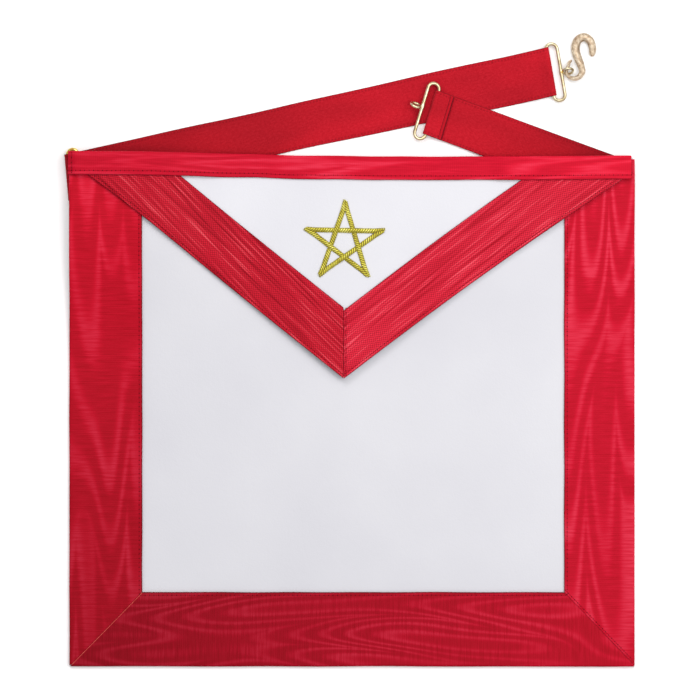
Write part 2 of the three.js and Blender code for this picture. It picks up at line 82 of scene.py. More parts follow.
def smooth(value, start, end):
    share = min(max((value - start) / (end - start), 0), 1)
    return share * share * (3 - 2 * share)


def mix(a, b, share):
    return a + (b - a) * share


def eased(rows, place):
    """The value of a table of (place, value) rows, eased from row to row."""
    for (start, low), (end, high) in zip(rows, rows[1:]):
        if place <= end:
            return mix(low, high, smooth(place, start, end))
    return rows[-1][1]


def steps(count):
    return [i / count for i in range(count + 1)]


def waistline(x):
    return BAND_DEPTH * eased(RISES, x / (2 * HALF_WIDTH) + 0.5)


def ripple(x, y, size, seed=0.0):
    """A smooth random height from about -1 to 1, with waves of that size in metres."""
    return noise.noise(Vector((x / size, y / size, seed)))


def back_height(x, y):
    """The height of the leather's back over the table. X is from the apron's middle, Y from its top."""
    settled = smooth(-y, LIFTED_DEPTH, LIFTED_DEPTH + SETTLE_LENGTH)
    return eased(LIFTS, x / (2 * HALF_WIDTH) + 0.5) * (1 - settled)


def front_height(x, y):
    return back_height(x, y) + LEATHER


def placed(x, y, z):
    return Vector((CENTRE_X + x, TOP_Y + y, z))


def sheet_object(name, grid, thickness, material, folded=False):
    """A closed sheet whose outer face is the grid's rows of (place, uv).

    A flat sheet's grid is turned to look up, and thickened downwards. A folded strap's looks inwards
    all along, and is thickened that way."""
    mesh = bpy.data.meshes.new(name)
    bm = bmesh.new()
    uv_layer = bm.loops.layers.uv.new("cloth")
    verts = [[bm.verts.new(place) for place, _ in row] for row in grid]
    for i in range(len(grid) - 1):
        for j in range(len(grid[0]) - 1):
            corners = ((i, j), (i, j + 1), (i + 1, j + 1), (i + 1, j))
            face = bm.faces.new([verts[a][b] for a, b in corners])
            for loop, (a, b) in zip(face.loops, corners):
                loop[uv_layer].uv = grid[a][b][1]
    bm.normal_update()
    bm.faces.ensure_lookup_table()
    if not folded and bm.faces[len(bm.faces) // 2].normal.z < 0:
        bmesh.ops.reverse_faces(bm, faces=bm.faces)
    bm.to_mesh(mesh)
    bm.free()
    mesh.materials.append(material)
    obj = bpy.data.objects.new(name, mesh)
    bpy.context.collection.objects.link(obj)
    solid = obj.modifiers.new("thickness", "SOLIDIFY")
    solid.thickness = thickness
    solid.offset = 1 if folded else -1
    bevel = obj.modifiers.new("soft edge", "BEVEL")
    bevel.width = SOFT_EDGE
    bevel.segments = 2
    bevel.limit_method = "ANGLE"
    bevel.angle_limit = math.radians(50)
    return settled_object(obj)


def settled_object(obj):
    """The object with its modifiers worked into its mesh, shaded smooth."""
    depsgraph = bpy.context.evaluated_depsgraph_get()
    mesh = bpy.data.meshes.new_from_object(obj.evaluated_get(depsgraph))
    obj.modifiers.clear()
    obj.data = mesh
    mesh.name = obj.name
    mesh.shade_smooth()
    return obj


def srgb(red, green, blue):
    """A colour given as the eye reads it off a screen, 0 to 255, as the linear one that shaders take."""

    def linear(value):
        value /= 255
        return value / 12.92 if value <= 0.04045 else ((value + 0.055) / 1.055) ** 2.4

    return (linear(red), linear(green), linear(blue), 1)


class Shader:
    """A material with a Principled shader, and short ways to add nodes to it."""

    def __init__(self, name, **sockets):
        self.material = bpy.data.materials.new(name)
        self.material.use_nodes = True
        self.tree = self.material.node_tree
        self.surface = self.tree.nodes["Principled BSDF"]
        for key, value in sockets.items():
            self.surface.inputs[key.replace("_", " ")].default_value = value

    def node(self, kind, inputs=(), **settings):
        node = self.tree.nodes.new(kind)
        for key, value in settings.items():
            setattr(node, key, value)
        for key, value in dict(inputs).items():
            if isinstance(value, bpy.types.NodeSocket):
                self.tree.links.new(value, node.inputs[key])
            else:
                node.inputs[key].default_value = value
        return node

    def math(self, operation, a, b=0.0, c=0.0):
        return self.node("ShaderNodeMath", {0: a, 1: b, 2: c}, operation=operation).outputs[0]

    def place(self, scale, source=None):
        """Object coordinates, or the given ones, stretched by scale."""
        if source is None:
            source = self.node("ShaderNodeTexCoord").outputs["Object"]
        return self.node(
            "ShaderNodeVectorMath", {0: source, 1: scale}, operation="MULTIPLY"
        ).outputs[0]

    def noise(self, vector, detail=2.0, roughness=0.5):
        inputs = {"Vector": vector, "Scale": 1.0, "Detail": detail, "Roughness": roughness}
        return self.node("ShaderNodeTexNoise", inputs).outputs["Fac"]

    def ramp(self, value, *stops):
        """Colours or grey levels at places from 0 to 1."""
        node = self.node("ShaderNodeValToRGB", {"Fac": value})
        elements = node.color_ramp.elements
        while len(elements) < len(stops):
            elements.new(0.5)
        for element, (place, colour) in zip(elements, stops):
            element.position = place
            element.color = colour if isinstance(colour, tuple) else (colour, colour, colour, 1)
        return node.outputs["Color"]

    def mixed(self, share, a, b, blend="MIX"):
        node = self.node("ShaderNodeMix", data_type="RGBA", blend_type=blend)
        for key, value in ((0, share), (6, a), (7, b)):
            if isinstance(value, bpy.types.NodeSocket):
                self.tree.links.new(value, node.inputs[key])
            else:
                node.inputs[key].default_value = value
        return node.outputs[2]

    def paint(self, socket, value):
        self.tree.links.new(value, self.surface.inputs[socket])

    def bump(self, height, distance, strength=1.0, under=None):
        inputs = {"Height": height, "Distance": distance, "Strength": strength}
        if under is not None:
            inputs["Normal"] = under
        return self.node("ShaderNodeBump", inputs).outputs["Normal"]


def lambskin(name, shaded, lit):
    shader = Shader(name, Roughness=0.56, Specular_IOR_Level=0.35, Sheen_Weight=0.08)
    cloudy = shader.noise(shader.place((9, 9, 9)), 3)
    colour = shader.ramp(cloudy, (0.3, shaded), (0.7, lit))
    shader.paint("Base Color", colour)
    pores = shader.node(
        "ShaderNodeTexVoronoi", {"Vector": shader.place((900, 900, 900)), "Scale": 1.0}
    ).outputs["Distance"]
    creases = shader.noise(shader.place((260, 260, 260)), 4, 0.6)
    grain = shader.bump(pores, 0.06 * MM, 0.5)
    shader.paint("Normal", shader.bump(creases, 0.15 * MM, 0.6, grain))
    return shader.material


def body_grid():
    half = HALF_WIDTH - EDGE
    grid = []
    for share in steps(150):
        row = []
        for across in steps(150):
            x = mix(-half, half, across)
            y = mix(waistline(x) - EDGE, EDGE - HEIGHT, share)
            swell = 0.12 * MM * (1 + ripple(x, y, 60 * MM))
            row.append((placed(x, y, front_height(x, y) + swell), (x, y)))
        grid.append(row)
    return grid


body_leather = lambskin("white lambskin", srgb(198, 197, 203), srgb(205, 204, 209))
body = sheet_object("leather_body", body_grid(), LEATHER, body_leather)
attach(body, "apron")
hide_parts("apron_panel")


# The border: three lengths of red watered grosgrain ribbon, two inches wide, laid on the leather and
# turned over its edge, mitred at the lower corners and sewn down along both sides.
BORDER_WIDTH = {"left": 51.7 * MM, "right": 50.7 * MM, "bottom": 52.7 * MM}
MITRE_GAP = GAP / 2
RIBBON_WALL = LEATHER + GAP + RIBBON
RIBBON_SHEET = 0.8 * MM
SIDE_TOP = {"left": BAND_DEPTH - 4 * MM, "right": 2.6 * MM}


def watered_lines(shader, along, cloth, grain, figure, broken):
    """The watering: light contour lines round slow swells, in patches and broken by the cloth's grain."""
    repeats, bends_along, bends_across, depth = figure
    drift = shader.noise(shader.place((bends_along, bends_across, 1), cloth), 0)
    folded = shader.math("ABSOLUTE", shader.math("SUBTRACT", drift, 0.5))
    contour = shader.math("MULTIPLY_ADD", along, repeats, shader.math("MULTIPLY", folded, depth))
    ragged = shader.math("MULTIPLY_ADD", grain, 0.12, contour)
    wave = shader.math("SINE", shader.math("MULTIPLY", ragged, 2 * math.pi))
    crest = shader.math("POWER", shader.math("MULTIPLY_ADD", wave, 0.5, 0.5), 2.2)
    patches = shader.noise(shader.place((7, 40, 1), cloth), 1, 0.5)
    lines = shader.math("MULTIPLY", crest, shader.ramp(patches, (0.36, 0.45), (0.62, 1.0)))
    return shader.math("MULTIPLY", lines, shader.ramp(grain, (0.38, broken), (0.58, 1.0)))


def watered_ribbon(
    name, phase, tones, painted_light_slope, shaded_edges, figure, hatch, ribbing,
    marked=0.5, grained=0.3, skew=0, broken=0.6, corded=False,
):
    """Ribbon whose cloth map runs along it in U and across it in V, in metres.

    The painted light slope is two (place along it, brightness) pairs, between which its brightness changes
    evenly: painted light and shade along it. The shaded edges are the places across it of its two edges,
    towards which painted shade darkens it as the shadow of its thickness. The figure of light contours has
    so many repeats to a metre, bends to a metre along and across, and a depth. Hatch is the fineness of
    its grain along and across, and ribbing the ribs' pitch and contrast.
    Skew is how far across the figure drifts for each metre along, and broken the least share of a line
    that shows between the grain. A corded ribbon shows its warp too, as a screen with the ribs."""
    shader = Shader(name, Roughness=0.46, Specular_IOR_Level=0.05)
    cloth = shader.node("ShaderNodeUVMap", uv_map="cloth").outputs["UV"]
    split = shader.node("ShaderNodeSeparateXYZ", {0: cloth})
    along, across = split.outputs[0], split.outputs[1]
    drifted = shader.node(
        "ShaderNodeCombineXYZ", {0: along, 1: shader.math("MULTIPLY_ADD", along, -skew, across)}
    ).outputs[0]
    shifted = shader.node("ShaderNodeVectorMath", {0: drifted, 1: (phase, phase * 0.37, 0)}).outputs[0]
    grain = shader.noise(shader.place((hatch[0], hatch[1], 1), shifted), 1, 0.5)
    shown = watered_lines(shader, along, shifted, grain, figure, broken)
    share = shader.math("MULTIPLY_ADD", shown, marked, shader.math("MULTIPLY", grain, grained))
    dark, middle, light = tones
    tone = shader.ramp(share, (0.08, dark), (0.27, middle), (0.9, light))
    # Painted light and shade: the brightness changes evenly along the ribbon between the two pairs.
    (start, low), (end, high) = painted_light_slope
    slope = (high - low) / (end - start)
    painted_light_and_shade = shader.math("MULTIPLY_ADD", along, slope, low - slope * start)
    # Painted shade: the ribbon darkens within a millimetre of both its edges, as the shadow of its
    # thickness.
    near, far = shaded_edges
    inside = shader.math(
        "MINIMUM", shader.math("SUBTRACT", across, near), shader.math("SUBTRACT", far, across)
    )
    edge = shader.ramp(shader.math("DIVIDE", inside, 1.0 * MM), (0.15, 0.42), (0.75, 1.0))
    rib_pitch, rib_contrast = ribbing
    ribs = shader.math("SINE", shader.math("MULTIPLY", along, 2 * math.pi / rib_pitch))
    if corded:
        cords = shader.math("SINE", shader.math("MULTIPLY", across, 2 * math.pi / rib_pitch))
        ribs = shader.math("MULTIPLY", ribs, cords)
    shade = shader.math("MULTIPLY", painted_light_and_shade, shader.math("MULTIPLY_ADD", ribs, rib_contrast, 1.0))
    shade = shader.math("MULTIPLY", shade, edge)
    shader.paint("Base Color", shader.mixed(1.0, tone, shade, "MULTIPLY"))
    fine_ribs = shader.math("SINE", shader.math("MULTIPLY", along, 2 * math.pi / (0.5 * MM)))
    ribs_up = shader.bump(shader.math("MULTIPLY_ADD", fine_ribs, 0.6, ribs), 0.05 * MM, 0.5)
    shader.paint("Normal", shader.bump(grain, 0.05 * MM, 0.3, ribs_up))
    return shader.material


def border_profile(width):
    """The ribbon's outer face as (across, height): up the leather's cut edge and in over its front."""
    low = -GAP - LEATHER
    turn = 0.7 * MM
    rise = [(0.0, mix(low, RIBBON - turn, share)) for share in steps(4)]
    bend = [
        (turn * (1 - math.cos(math.radians(a))), RIBBON - turn + turn * math.sin(math.radians(a)))
        for a in (22, 45, 68)
    ]
    flat = [(mix(turn, width, share), RIBBON) for share in steps(34)]
    return rise + bend + flat


def border_grid(place, count, width):
    grid = []
    for share in steps(count):
        row = []
        walked = 0.0
        before = None
        for across, up in border_profile(width):
            if before is not None:
                walked += math.hypot(across - before[0], up - before[1])
            before = (across, up)
            x, y, along = place(share, across)
            puff = 0.18 * MM * ripple(x, y, 22 * MM, 3.1) * smooth(across, 0, 6 * MM)
            height = front_height(x, y) + GAP + up + puff
            row.append((placed(x, y, max(height, 0)), (along, walked)))
        grid.append(row)
    return grid


def side_place(name, side):
    """Where a side ribbon lies, at a share of its length and a distance in from the apron's edge."""
    mitre = BORDER_WIDTH["bottom"] / BORDER_WIDTH[name]

    def place(share, across):
        wobble = 0.25 * MM * ripple(share * 9, side, 1.0, across * 40)
        x = side * (HALF_WIDTH - across) + wobble
        y = mix(waistline(x) - SIDE_TOP[name], across * mitre + MITRE_GAP - HEIGHT, share)
        return x, y, y

    return place


def bottom_place(share, across):
    in_share = across / BORDER_WIDTH["bottom"]
    reach = HALF_WIDTH - MITRE_GAP
    x = mix(in_share * BORDER_WIDTH["left"] - reach, reach - in_share * BORDER_WIDTH["right"], share)
    wobble = 0.35 * MM * ripple(share * 8, 7.7, 1.0, across * 40)
    return x, across - HEIGHT + wobble, x


# The bottom ribbon's tones are darker than the side ones': painted shade, as its ribs run across the
# light.
border_tones = {
    "left": (srgb(166, 9, 28), srgb(188, 15, 39), srgb(213, 48, 72)),
    "right": (srgb(174, 10, 32), srgb(193, 16, 43), srgb(214, 50, 73)),
    "bottom": (srgb(144, 7, 24), srgb(164, 11, 34), srgb(188, 38, 59)),
}
# Painted light and shade along each border ribbon: the left one darkens towards its foot, the bottom one
# brightens towards the right.
border_painted_light = {
    "left": ((0, 1.1), (-HEIGHT, 0.62)),
    "right": ((0, 0.99), (-HEIGHT, 0.91)),
    "bottom": ((-HALF_WIDTH, 0.68), (HALF_WIDTH, 1.22)),
}
border_figures = {"left": (14, 3.4, 29, 9), "right": (15, 3.4, 31, 10), "bottom": (15, 7, 38, 9)}
border_marks = {"left": 0.46, "right": 0.62, "bottom": 0.46}
ribbons = {}
for name, place, count, phase in (
    ("left", side_place("left", -1), 180, 0.31),
    ("right", side_place("right", 1), 180, 1.73),
    ("bottom", bottom_place, 200, 3.19),
):
    width = BORDER_WIDTH[name]
    material = watered_ribbon(
        "watered ribbon " + name,
        phase,
        border_tones[name],
        border_painted_light[name],
        shaded_edges=(-1, width + RIBBON_WALL - 0.6 * MM),
        figure=border_figures[name],
        hatch=(760, 60),
        ribbing=(1.5 * MM, 0.03),
        marked=border_marks[name],
    )
    grid = border_grid(place, count, width)
    ribbon = sheet_object("ribbon_border_" + name, grid, RIBBON_SHEET, material)
    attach(ribbon, "apron")
    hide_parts("border_" + name)
    ribbons[name] = ribbon


# The flap: a triangle of the same white leather that hangs from the waistband, edged with ribbon an
# inch and a half wide, mitred at a tip that stands a few millimetres off the body.
FLAP_TUCK = 4 * MM
FLAP_DROP = 161.6 * MM
FLAP_TIP_SHIFT = -6.3 * MM
# (side, reach at the waistband, bow of its edge, how far the bow crowds towards the band)
FLAP_SIDES = {"left": (-1, 187.7 * MM, -2.2 * MM, 3), "right": (1, 196 * MM, -4.1 * MM, 1)}
FLAP_BORDER_WIDTH = 40 * MM
FLAP_AIR = 0.6 * MM
FLAP_TIP_LIFT = 3.5 * MM
TUCKED_TOP = FLAP_TUCK - BAND_DEPTH


def flap_height(x, y):
    inside = HALF_WIDTH - BORDER_WIDTH["left"] - abs(x)
    over_border = 1 - smooth(inside, 0, BORDER_WIDTH["left"])
    lift = FLAP_TIP_LIFT * smooth(-y / FLAP_DROP, 0.45, 1)
    return front_height(x, y) + FLAP_AIR + over_border * (RIBBON + GAP) + lift


def flap_edge(name, y):
    side, reach, bow, crowd = FLAP_SIDES[name]
    share = (FLAP_DROP + y) / (FLAP_DROP - BAND_DEPTH)
    bulge = bow * math.sin(math.pi * share**crowd) if share < 1 else 0
    return mix(FLAP_TIP_SHIFT, side * reach, share) + side * bulge


def flap_grid():
    tip = 0.6 * MM
    grid = []
    for share in steps(90):
        y = mix(TUCKED_TOP, tip - FLAP_DROP, share)
        left = flap_edge("left", y)
        right = flap_edge("right", y)
        row = []
        for across in steps(110):
            x = mix(left, right, across)
            row.append((placed(x, y, flap_height(x, y) + LEATHER), (x, y)))
        grid.append(row)
    return grid


def flap_ribbon_grid(name):
    side, reach = FLAP_SIDES[name][:2]
    lean = math.atan((FLAP_DROP - BAND_DEPTH) / (reach - side * FLAP_TIP_SHIFT))
    grid = []
    for share in steps(120):
        row = []
        for across in steps(30):
            inwards = across * FLAP_BORDER_WIDTH / math.cos(lean)
            y = mix(TUCKED_TOP, inwards - FLAP_DROP, share)
            x = flap_edge(name, y - inwards) + side * MITRE_GAP
            puff = 0.14 * MM * ripple(x, y, 18 * MM, 5.2)
            height = flap_height(x, y) + LEATHER + GAP + RIBBON + puff
            along = x * math.cos(lean) * side + y * math.sin(lean)
            row.append((placed(x, y, height), (along, across * FLAP_BORDER_WIDTH)))
        grid.append(row)
    return grid


# Painted light: the flap's copy of the lambskin is lighter than the body's, though it is the same leather.
flap_leather = lambskin("white flap lambskin", srgb(204, 203, 209), srgb(212, 211, 216))
flap = sheet_object("leather_flap", flap_grid(), LEATHER, flap_leather)
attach(flap, "apron")
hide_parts("flap_panel")
flap_tones = {
    "left": (srgb(222, 84, 94), srgb(176, 22, 40), srgb(124, 2, 16)),
    "right": (srgb(232, 88, 102), srgb(192, 32, 52), srgb(148, 4, 22)),
}
for name, phase, skew in (("left", 5.1, 0.1), ("right", 6.7, 0.03)):
    material = watered_ribbon(
        "flap ribbon " + name,
        phase,
        flap_tones[name],
        painted_light_slope=((-0.2, 1.0), (0.2, 1.0)),
        shaded_edges=(0, FLAP_BORDER_WIDTH),
        figure=(9, 1.6, 66, 9),
        hatch=(30, 900),
        ribbing=(2.0 * MM, 0.5),
        marked=0.46,
        grained=0.56,
        broken=0.45,
        skew=skew,
        corded=True,
    )
    ribbon = sheet_object("ribbon_flap_" + name, flap_ribbon_grid(name), RIBBON_SHEET, material)
    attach(ribbon, "apron")
    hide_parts("flap_border_" + name)
    ribbons["flap_" + name] = ribbon


# The waistband: a ribbon folded over the top edge, with the flap's top between its two halves, and
# sewn through along its lower edge.
BAND_LENGTH = 405 * MM
BAND_SHIFT = -2.0 * MM
BAND_TURN_UNDER = 12 * MM
BORDER_STACK = LEATHER + GAP + RIBBON + GAP
FLAP_STACK = 2 * LEATHER + FLAP_AIR + GAP
FLAP_RIBBON_STACK = FLAP_STACK + RIBBON + GAP
CORNER_STACK = FLAP_RIBBON_STACK + RIBBON + GAP
# (place from the band's left end to its right one, height of what lies in it)
STACKS = [
    (0, BORDER_STACK),
    (0.012, CORNER_STACK),
    (0.16, CORNER_STACK),
    (0.24, FLAP_RIBBON_STACK),
    (0.28, FLAP_STACK),
    (0.74, FLAP_STACK),
    (0.78, FLAP_RIBBON_STACK),
    (0.86, CORNER_STACK),
    (1, CORNER_STACK),
]


def band_profile(front):
    """The band's outer face as (down from the fold, height over the leather's back)."""
    top = front + RIBBON
    back = -GAP - RIBBON
    radius = 1.1 * MM
    face = [(mix(BAND_DEPTH, radius, share), top) for share in steps(14)]
    over = [
        (radius * (1 - math.sin(math.radians(a))), top - radius * (1 - math.cos(math.radians(a))))
        for a in (30, 60, 90)
    ]
    wall = [(0.0, mix(top - radius, back + radius, share)) for share in (0.33, 0.66, 1)]
    under = [
        (radius * (1 - math.cos(math.radians(a))), back + radius * (1 - math.sin(math.radians(a))))
        for a in (30, 60, 90)
    ]
    hem = [(mix(radius, BAND_TURN_UNDER, share), back) for share in steps(6)[1:]]
    return face + over + wall + under + hem


def band_grid():
    grid = []
    for share in steps(260):
        x = BAND_LENGTH * (share - 0.5) + BAND_SHIFT
        row = []
        walked = 0.0
        before = None
        for down, up in band_profile(eased(STACKS, share)):
            if before is not None:
                walked += math.hypot(down - before[0], up - before[1])
            before = (down, up)
            y = waistline(x) - down + 0.2 * MM * ripple(x, down, 25 * MM, 9.0)
            puff = 0.16 * MM * ripple(x, down * 2, 14 * MM, 2.2) if up > 0 and down > 0.001 else 0
            row.append((placed(x, y, back_height(x, y) + up + puff), (x, walked)))
        grid.append(row)
    return grid


band_tones = (srgb(174, 10, 34), srgb(194, 18, 44), srgb(216, 52, 76))
band_material = watered_ribbon(
    "waistband ribbon",
    8.4,
    band_tones,
    # Painted light: the waistband brightens towards the right.
    painted_light_slope=((-HALF_WIDTH, 0.94), (HALF_WIDTH, 1.14)),
    shaded_edges=(0, 1),
    figure=(7, 4, 70, 8),
    hatch=(60, 900),
    ribbing=(1.5 * MM, 0.03),
)
band = sheet_object("ribbon_waistband", band_grid(), RIBBON_SHEET, band_material)
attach(band, "apron")
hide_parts("waistband")
ribbons["band"] = band


# The stitching: red thread, about three millimetres to a stitch, in rows just inside the edges of the
# ribbons. Each stitch is a short drawn-in bar of thread between two needle holes, drawn as flat dark
# discs:
# painted shade in the holes.
STITCH_PITCH = 3.2 * MM
STITCH_INSET = 2.2 * MM
THREAD = 0.42 * MM


def thread_materials():
    thread = Shader("red thread", Roughness=0.8, Specular_IOR_Level=0.05)
    fray = thread.noise(thread.place((2500, 2500, 2500)), 2)
    thread.paint("Base Color", thread.ramp(fray, (0.3, srgb(142, 6, 22)), (0.7, srgb(166, 10, 30))))
    # Painted shade: the needle holes' dark colour stands for the shade inside them.
    hole = Shader("needle hole", Roughness=0.9, Specular_IOR_Level=0.1)
    depth = hole.noise(hole.place((3000, 3000, 3000)), 1)
    hole.paint("Base Color", hole.ramp(depth, (0.3, srgb(66, 2, 8)), (0.7, srgb(98, 4, 16))))
    return thread.material, hole.material


def stitch_mesh(thread, hole):
    """One stitch along X, with a needle hole at each end as a flat dark disc of painted shade."""
    mesh = bpy.data.meshes.new("stitch")
    bm = bmesh.new()
    length = 0.66 * STITCH_PITCH
    result = bmesh.ops.create_uvsphere(bm, u_segments=8, v_segments=6, radius=0.5)
    bmesh.ops.rotate(bm, verts=result["verts"], matrix=Matrix.Rotation(math.pi / 2, 3, "Y"))
    bmesh.ops.scale(bm, verts=result["verts"], vec=(length, THREAD, THREAD * 0.8))
    for vert in result["verts"]:
        vert.co.z += 0.06 * MM
    for side in (-1, 1):
        before = set(bm.faces)
        disc = bmesh.ops.create_circle(bm, cap_ends=True, segments=8, radius=0.42 * MM)
        for vert in disc["verts"]:
            vert.co += Vector((side * STITCH_PITCH / 2, 0, 0.07 * MM))
        for face in set(bm.faces) - before:
            face.material_index = 1
            if face.normal.z < 0:
                face.normal_flip()
    for face in bm.faces:
        face.smooth = True
    bm.to_mesh(mesh)
    bm.free()
    mesh.materials.append(thread)
    mesh.materials.append(hole)
    return mesh


def row_tree(piece):
    """Geometry nodes that lay copies of a piece along a curve, one to each pitch and facing along it.

    The curve's radius is their width. Each copied face then gets the material that it has in the piece."""
    tree = bpy.data.node_groups.new("row of " + piece.name, "GeometryNodeTree")
    tree.interface.new_socket("Path", in_out="INPUT", socket_type="NodeSocketGeometry")
    tree.interface.new_socket("Pitch", in_out="INPUT", socket_type="NodeSocketFloat")
    tree.interface.new_socket("Row", in_out="OUTPUT", socket_type="NodeSocketGeometry")
    add = tree.nodes.new
    start, end = add("NodeGroupInput"), add("NodeGroupOutput")
    resample = add("GeometryNodeResampleCurve")
    resample.mode = "LENGTH"
    tangent = add("GeometryNodeInputTangent")
    turn = add("FunctionNodeAlignEulerToVector")
    turn.axis = "X"
    turn.pivot_axis = "Z"
    info = add("GeometryNodeObjectInfo")
    info.inputs["Object"].default_value = piece
    radius = add("GeometryNodeInputRadius")
    scale = add("ShaderNodeCombineXYZ")
    scale.inputs["X"].default_value = 1
    scale.inputs["Z"].default_value = 1
    copies = add("GeometryNodeInstanceOnPoints")
    real = add("GeometryNodeRealizeInstances")
    link = tree.links.new
    link(start.outputs["Path"], resample.inputs["Curve"])
    link(start.outputs["Pitch"], resample.inputs["Length"])
    link(resample.outputs["Curve"], copies.inputs["Points"])
    link(tangent.outputs[0], turn.inputs["Vector"])
    link(info.outputs["Geometry"], copies.inputs["Instance"])
    link(turn.outputs["Rotation"], copies.inputs["Rotation"])
    link(radius.outputs[0], scale.inputs["Y"])
    link(scale.outputs[0], copies.inputs["Scale"])
    link(copies.outputs[0], real.inputs["Geometry"])
    row = real.outputs[0]
    for material in piece.data.materials:
        chosen = add("GeometryNodeMaterialSelection")
        chosen.inputs["Material"].default_value = material
        painted = add("GeometryNodeSetMaterial")
        painted.inputs["Material"].default_value = material
        link(chosen.outputs[0], painted.inputs["Selection"])
        link(row, painted.inputs["Geometry"])
        row = painted.outputs[0]
    link(row, end.inputs["Row"])
    return tree


def curve_through(name, lines):
    """A curve object of lines of (x, y, z) or (x, y, z, size) points."""
    data = bpy.data.curves.new(name, "CURVE")
    data.dimensions = "3D"
    for points in lines:
        spline = data.splines.new("POLY")
        spline.points.add(len(points) - 1)
        for target, point in zip(spline.points, points):
            target.co = (*point[:3], 1)
            target.radius = point[3] if len(point) > 3 else 1
    obj = bpy.data.objects.new(name, data)
    bpy.context.collection.objects.link(obj)
    return obj


def rows_of(name, lines, tree, pitch, materials):
    """A mesh of the tree's copies along the lines, on the apron."""
    obj = curve_through(name + "_path", lines)
    modifier = obj.modifiers.new("row", "NODES")
    modifier.node_group = tree
    sockets = {item.name: item.identifier for item in tree.interface.items_tree}
    modifier[sockets["Pitch"]] = pitch
    depsgraph = bpy.context.evaluated_depsgraph_get()
    mesh = bpy.data.meshes.new_from_object(obj.evaluated_get(depsgraph))
    mesh.name = name
    bpy.data.objects.remove(obj)
    kinds = [polygon.material_index for polygon in mesh.polygons]
    mesh.materials.clear()
    for material in materials:
        mesh.materials.append(material)
    mesh.polygons.foreach_set("material_index", kinds)
    result = bpy.data.objects.new(name, mesh)
    bpy.context.collection.objects.link(result)
    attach(result, "apron")
    return result


def laid_on(lines, objects):
    """The lines of (x, y) with their heights on the objects' upper faces."""
    trees = []
    for obj in objects:
        faces = [tuple(polygon.vertices) for polygon in obj.data.polygons]
        trees.append(BVHTree.FromPolygons([vert.co for vert in obj.data.vertices], faces))
    laid = []
    for line in lines:
        points = []
        for x, y in line:
            above = placed(x, y, 0.05)
            hits = [tree.ray_cast(above, Vector((0, 0, -1)))[0] for tree in trees]
            heights = [hit.z for hit in hits if hit is not None]
            if heights:
                points.append((above.x, above.y, max(heights)))
        laid.append(points)
    return laid


def border_rows():
    lines = []
    bottom = BORDER_WIDTH["bottom"]
    for side, width in ((-1, BORDER_WIDTH["left"]), (1, BORDER_WIDTH["right"])):
        across = width - STITCH_INSET
        low = across * bottom / width - HEIGHT
        lines.append([(side * (HALF_WIDTH - across), mix(-BAND_DEPTH, low, t)) for t in steps(120)])
    across = bottom - STITCH_INSET
    left = across / bottom * BORDER_WIDTH["left"] - HALF_WIDTH
    right = HALF_WIDTH - across / bottom * BORDER_WIDTH["right"]
    lines.append([(mix(left, right, t), across - HEIGHT) for t in steps(120)])
    beside = 2.4 * MM
    mitre = []
    for share in [mix(0.04, 0.96, t) for t in steps(30)]:
        mitre.append((HALF_WIDTH - share * BORDER_WIDTH["right"], share * bottom - HEIGHT + beside))
    lines.append(mitre)
    return lines


def flap_rows():
    lines = []
    for name in FLAP_SIDES:
        side, reach = FLAP_SIDES[name][:2]
        lean = math.atan((FLAP_DROP - BAND_DEPTH) / (reach - side * FLAP_TIP_SHIFT))
        inwards = STITCH_INSET / math.cos(lean)
        line = []
        for share in steps(80):
            y = mix(-BAND_DEPTH, inwards - FLAP_DROP, share)
            line.append((flap_edge(name, y - inwards), y))
        lines.append(line)
    seam = FLAP_TIP_SHIFT + 1.6 * MM
    lines.append([(seam, mix(4 * MM, 49 * MM, t) - FLAP_DROP) for t in steps(20)])
    return lines


def band_rows():
    down = BAND_DEPTH - 3 * MM
    ends = [BAND_LENGTH * (share - 0.5) + BAND_SHIFT for share in (0.004, 0.996)]
    row = [mix(*ends, t) for t in steps(200)]
    x = ends[0] + 1.2 * MM
    return [
        [(x, waistline(x) - down) for x in row],
        [(x, waistline(x) - mix(3 * MM, down, t)) for t in steps(6)],
    ]


thread, hole = thread_materials()
stitch = bpy.data.objects.new("stitch", stitch_mesh(thread, hole))
bpy.context.collection.objects.link(stitch)
stitch_tree = row_tree(stitch)
for name, lines, under in (
    ("stitches_border", border_rows(), ("left", "right", "bottom")),
    ("stitches_flap", flap_rows(), ("flap_left", "flap_right")),
    ("stitches_waistband", band_rows(), ("band",)),
):
    laid = laid_on(lines, [ribbons[key] for key in under])
    seam = rows_of(name, laid, stitch_tree, STITCH_PITCH, [thread, hole])
bpy.data.objects.remove(stitch)


# The mitres: the bottom ribbon and the flap's right one are folded under along the slanting joints, so
# that each joint shows the round edge of a fold. Each joint is drawn as a thin dark tube sunk between the
# ribbons, painted shade of the fold. The lower left one stands up, and a light tube beside it is a painted
# highlight on it.
def fold_material(name, shaded, lit):
    shader = Shader(name, Roughness=0.6, Specular_IOR_Level=0.1)
    ribs = shader.noise(shader.place((700, 700, 700)), 2)
    shader.paint("Base Color", shader.ramp(ribs, (0.3, shaded), (0.7, lit)))
    return shader.material


def tube_object(name, points, radius, material):
    """A thin round fold or wire along the points, on the apron."""
    path = curve_through(name + "_path", [points])
    path.data.bevel_depth = radius
    path.data.bevel_resolution = 2
    path.data.use_fill_caps = True
    mesh = bpy.data.meshes.new_from_object(path.evaluated_get(bpy.context.evaluated_depsgraph_get()))
    mesh.name = name
    bpy.data.objects.remove(path)
    mesh.materials.clear()
    mesh.materials.append(material)
    tube = bpy.data.objects.new(name, mesh)
    bpy.context.collection.objects.link(tube)
    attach(tube, "apron")


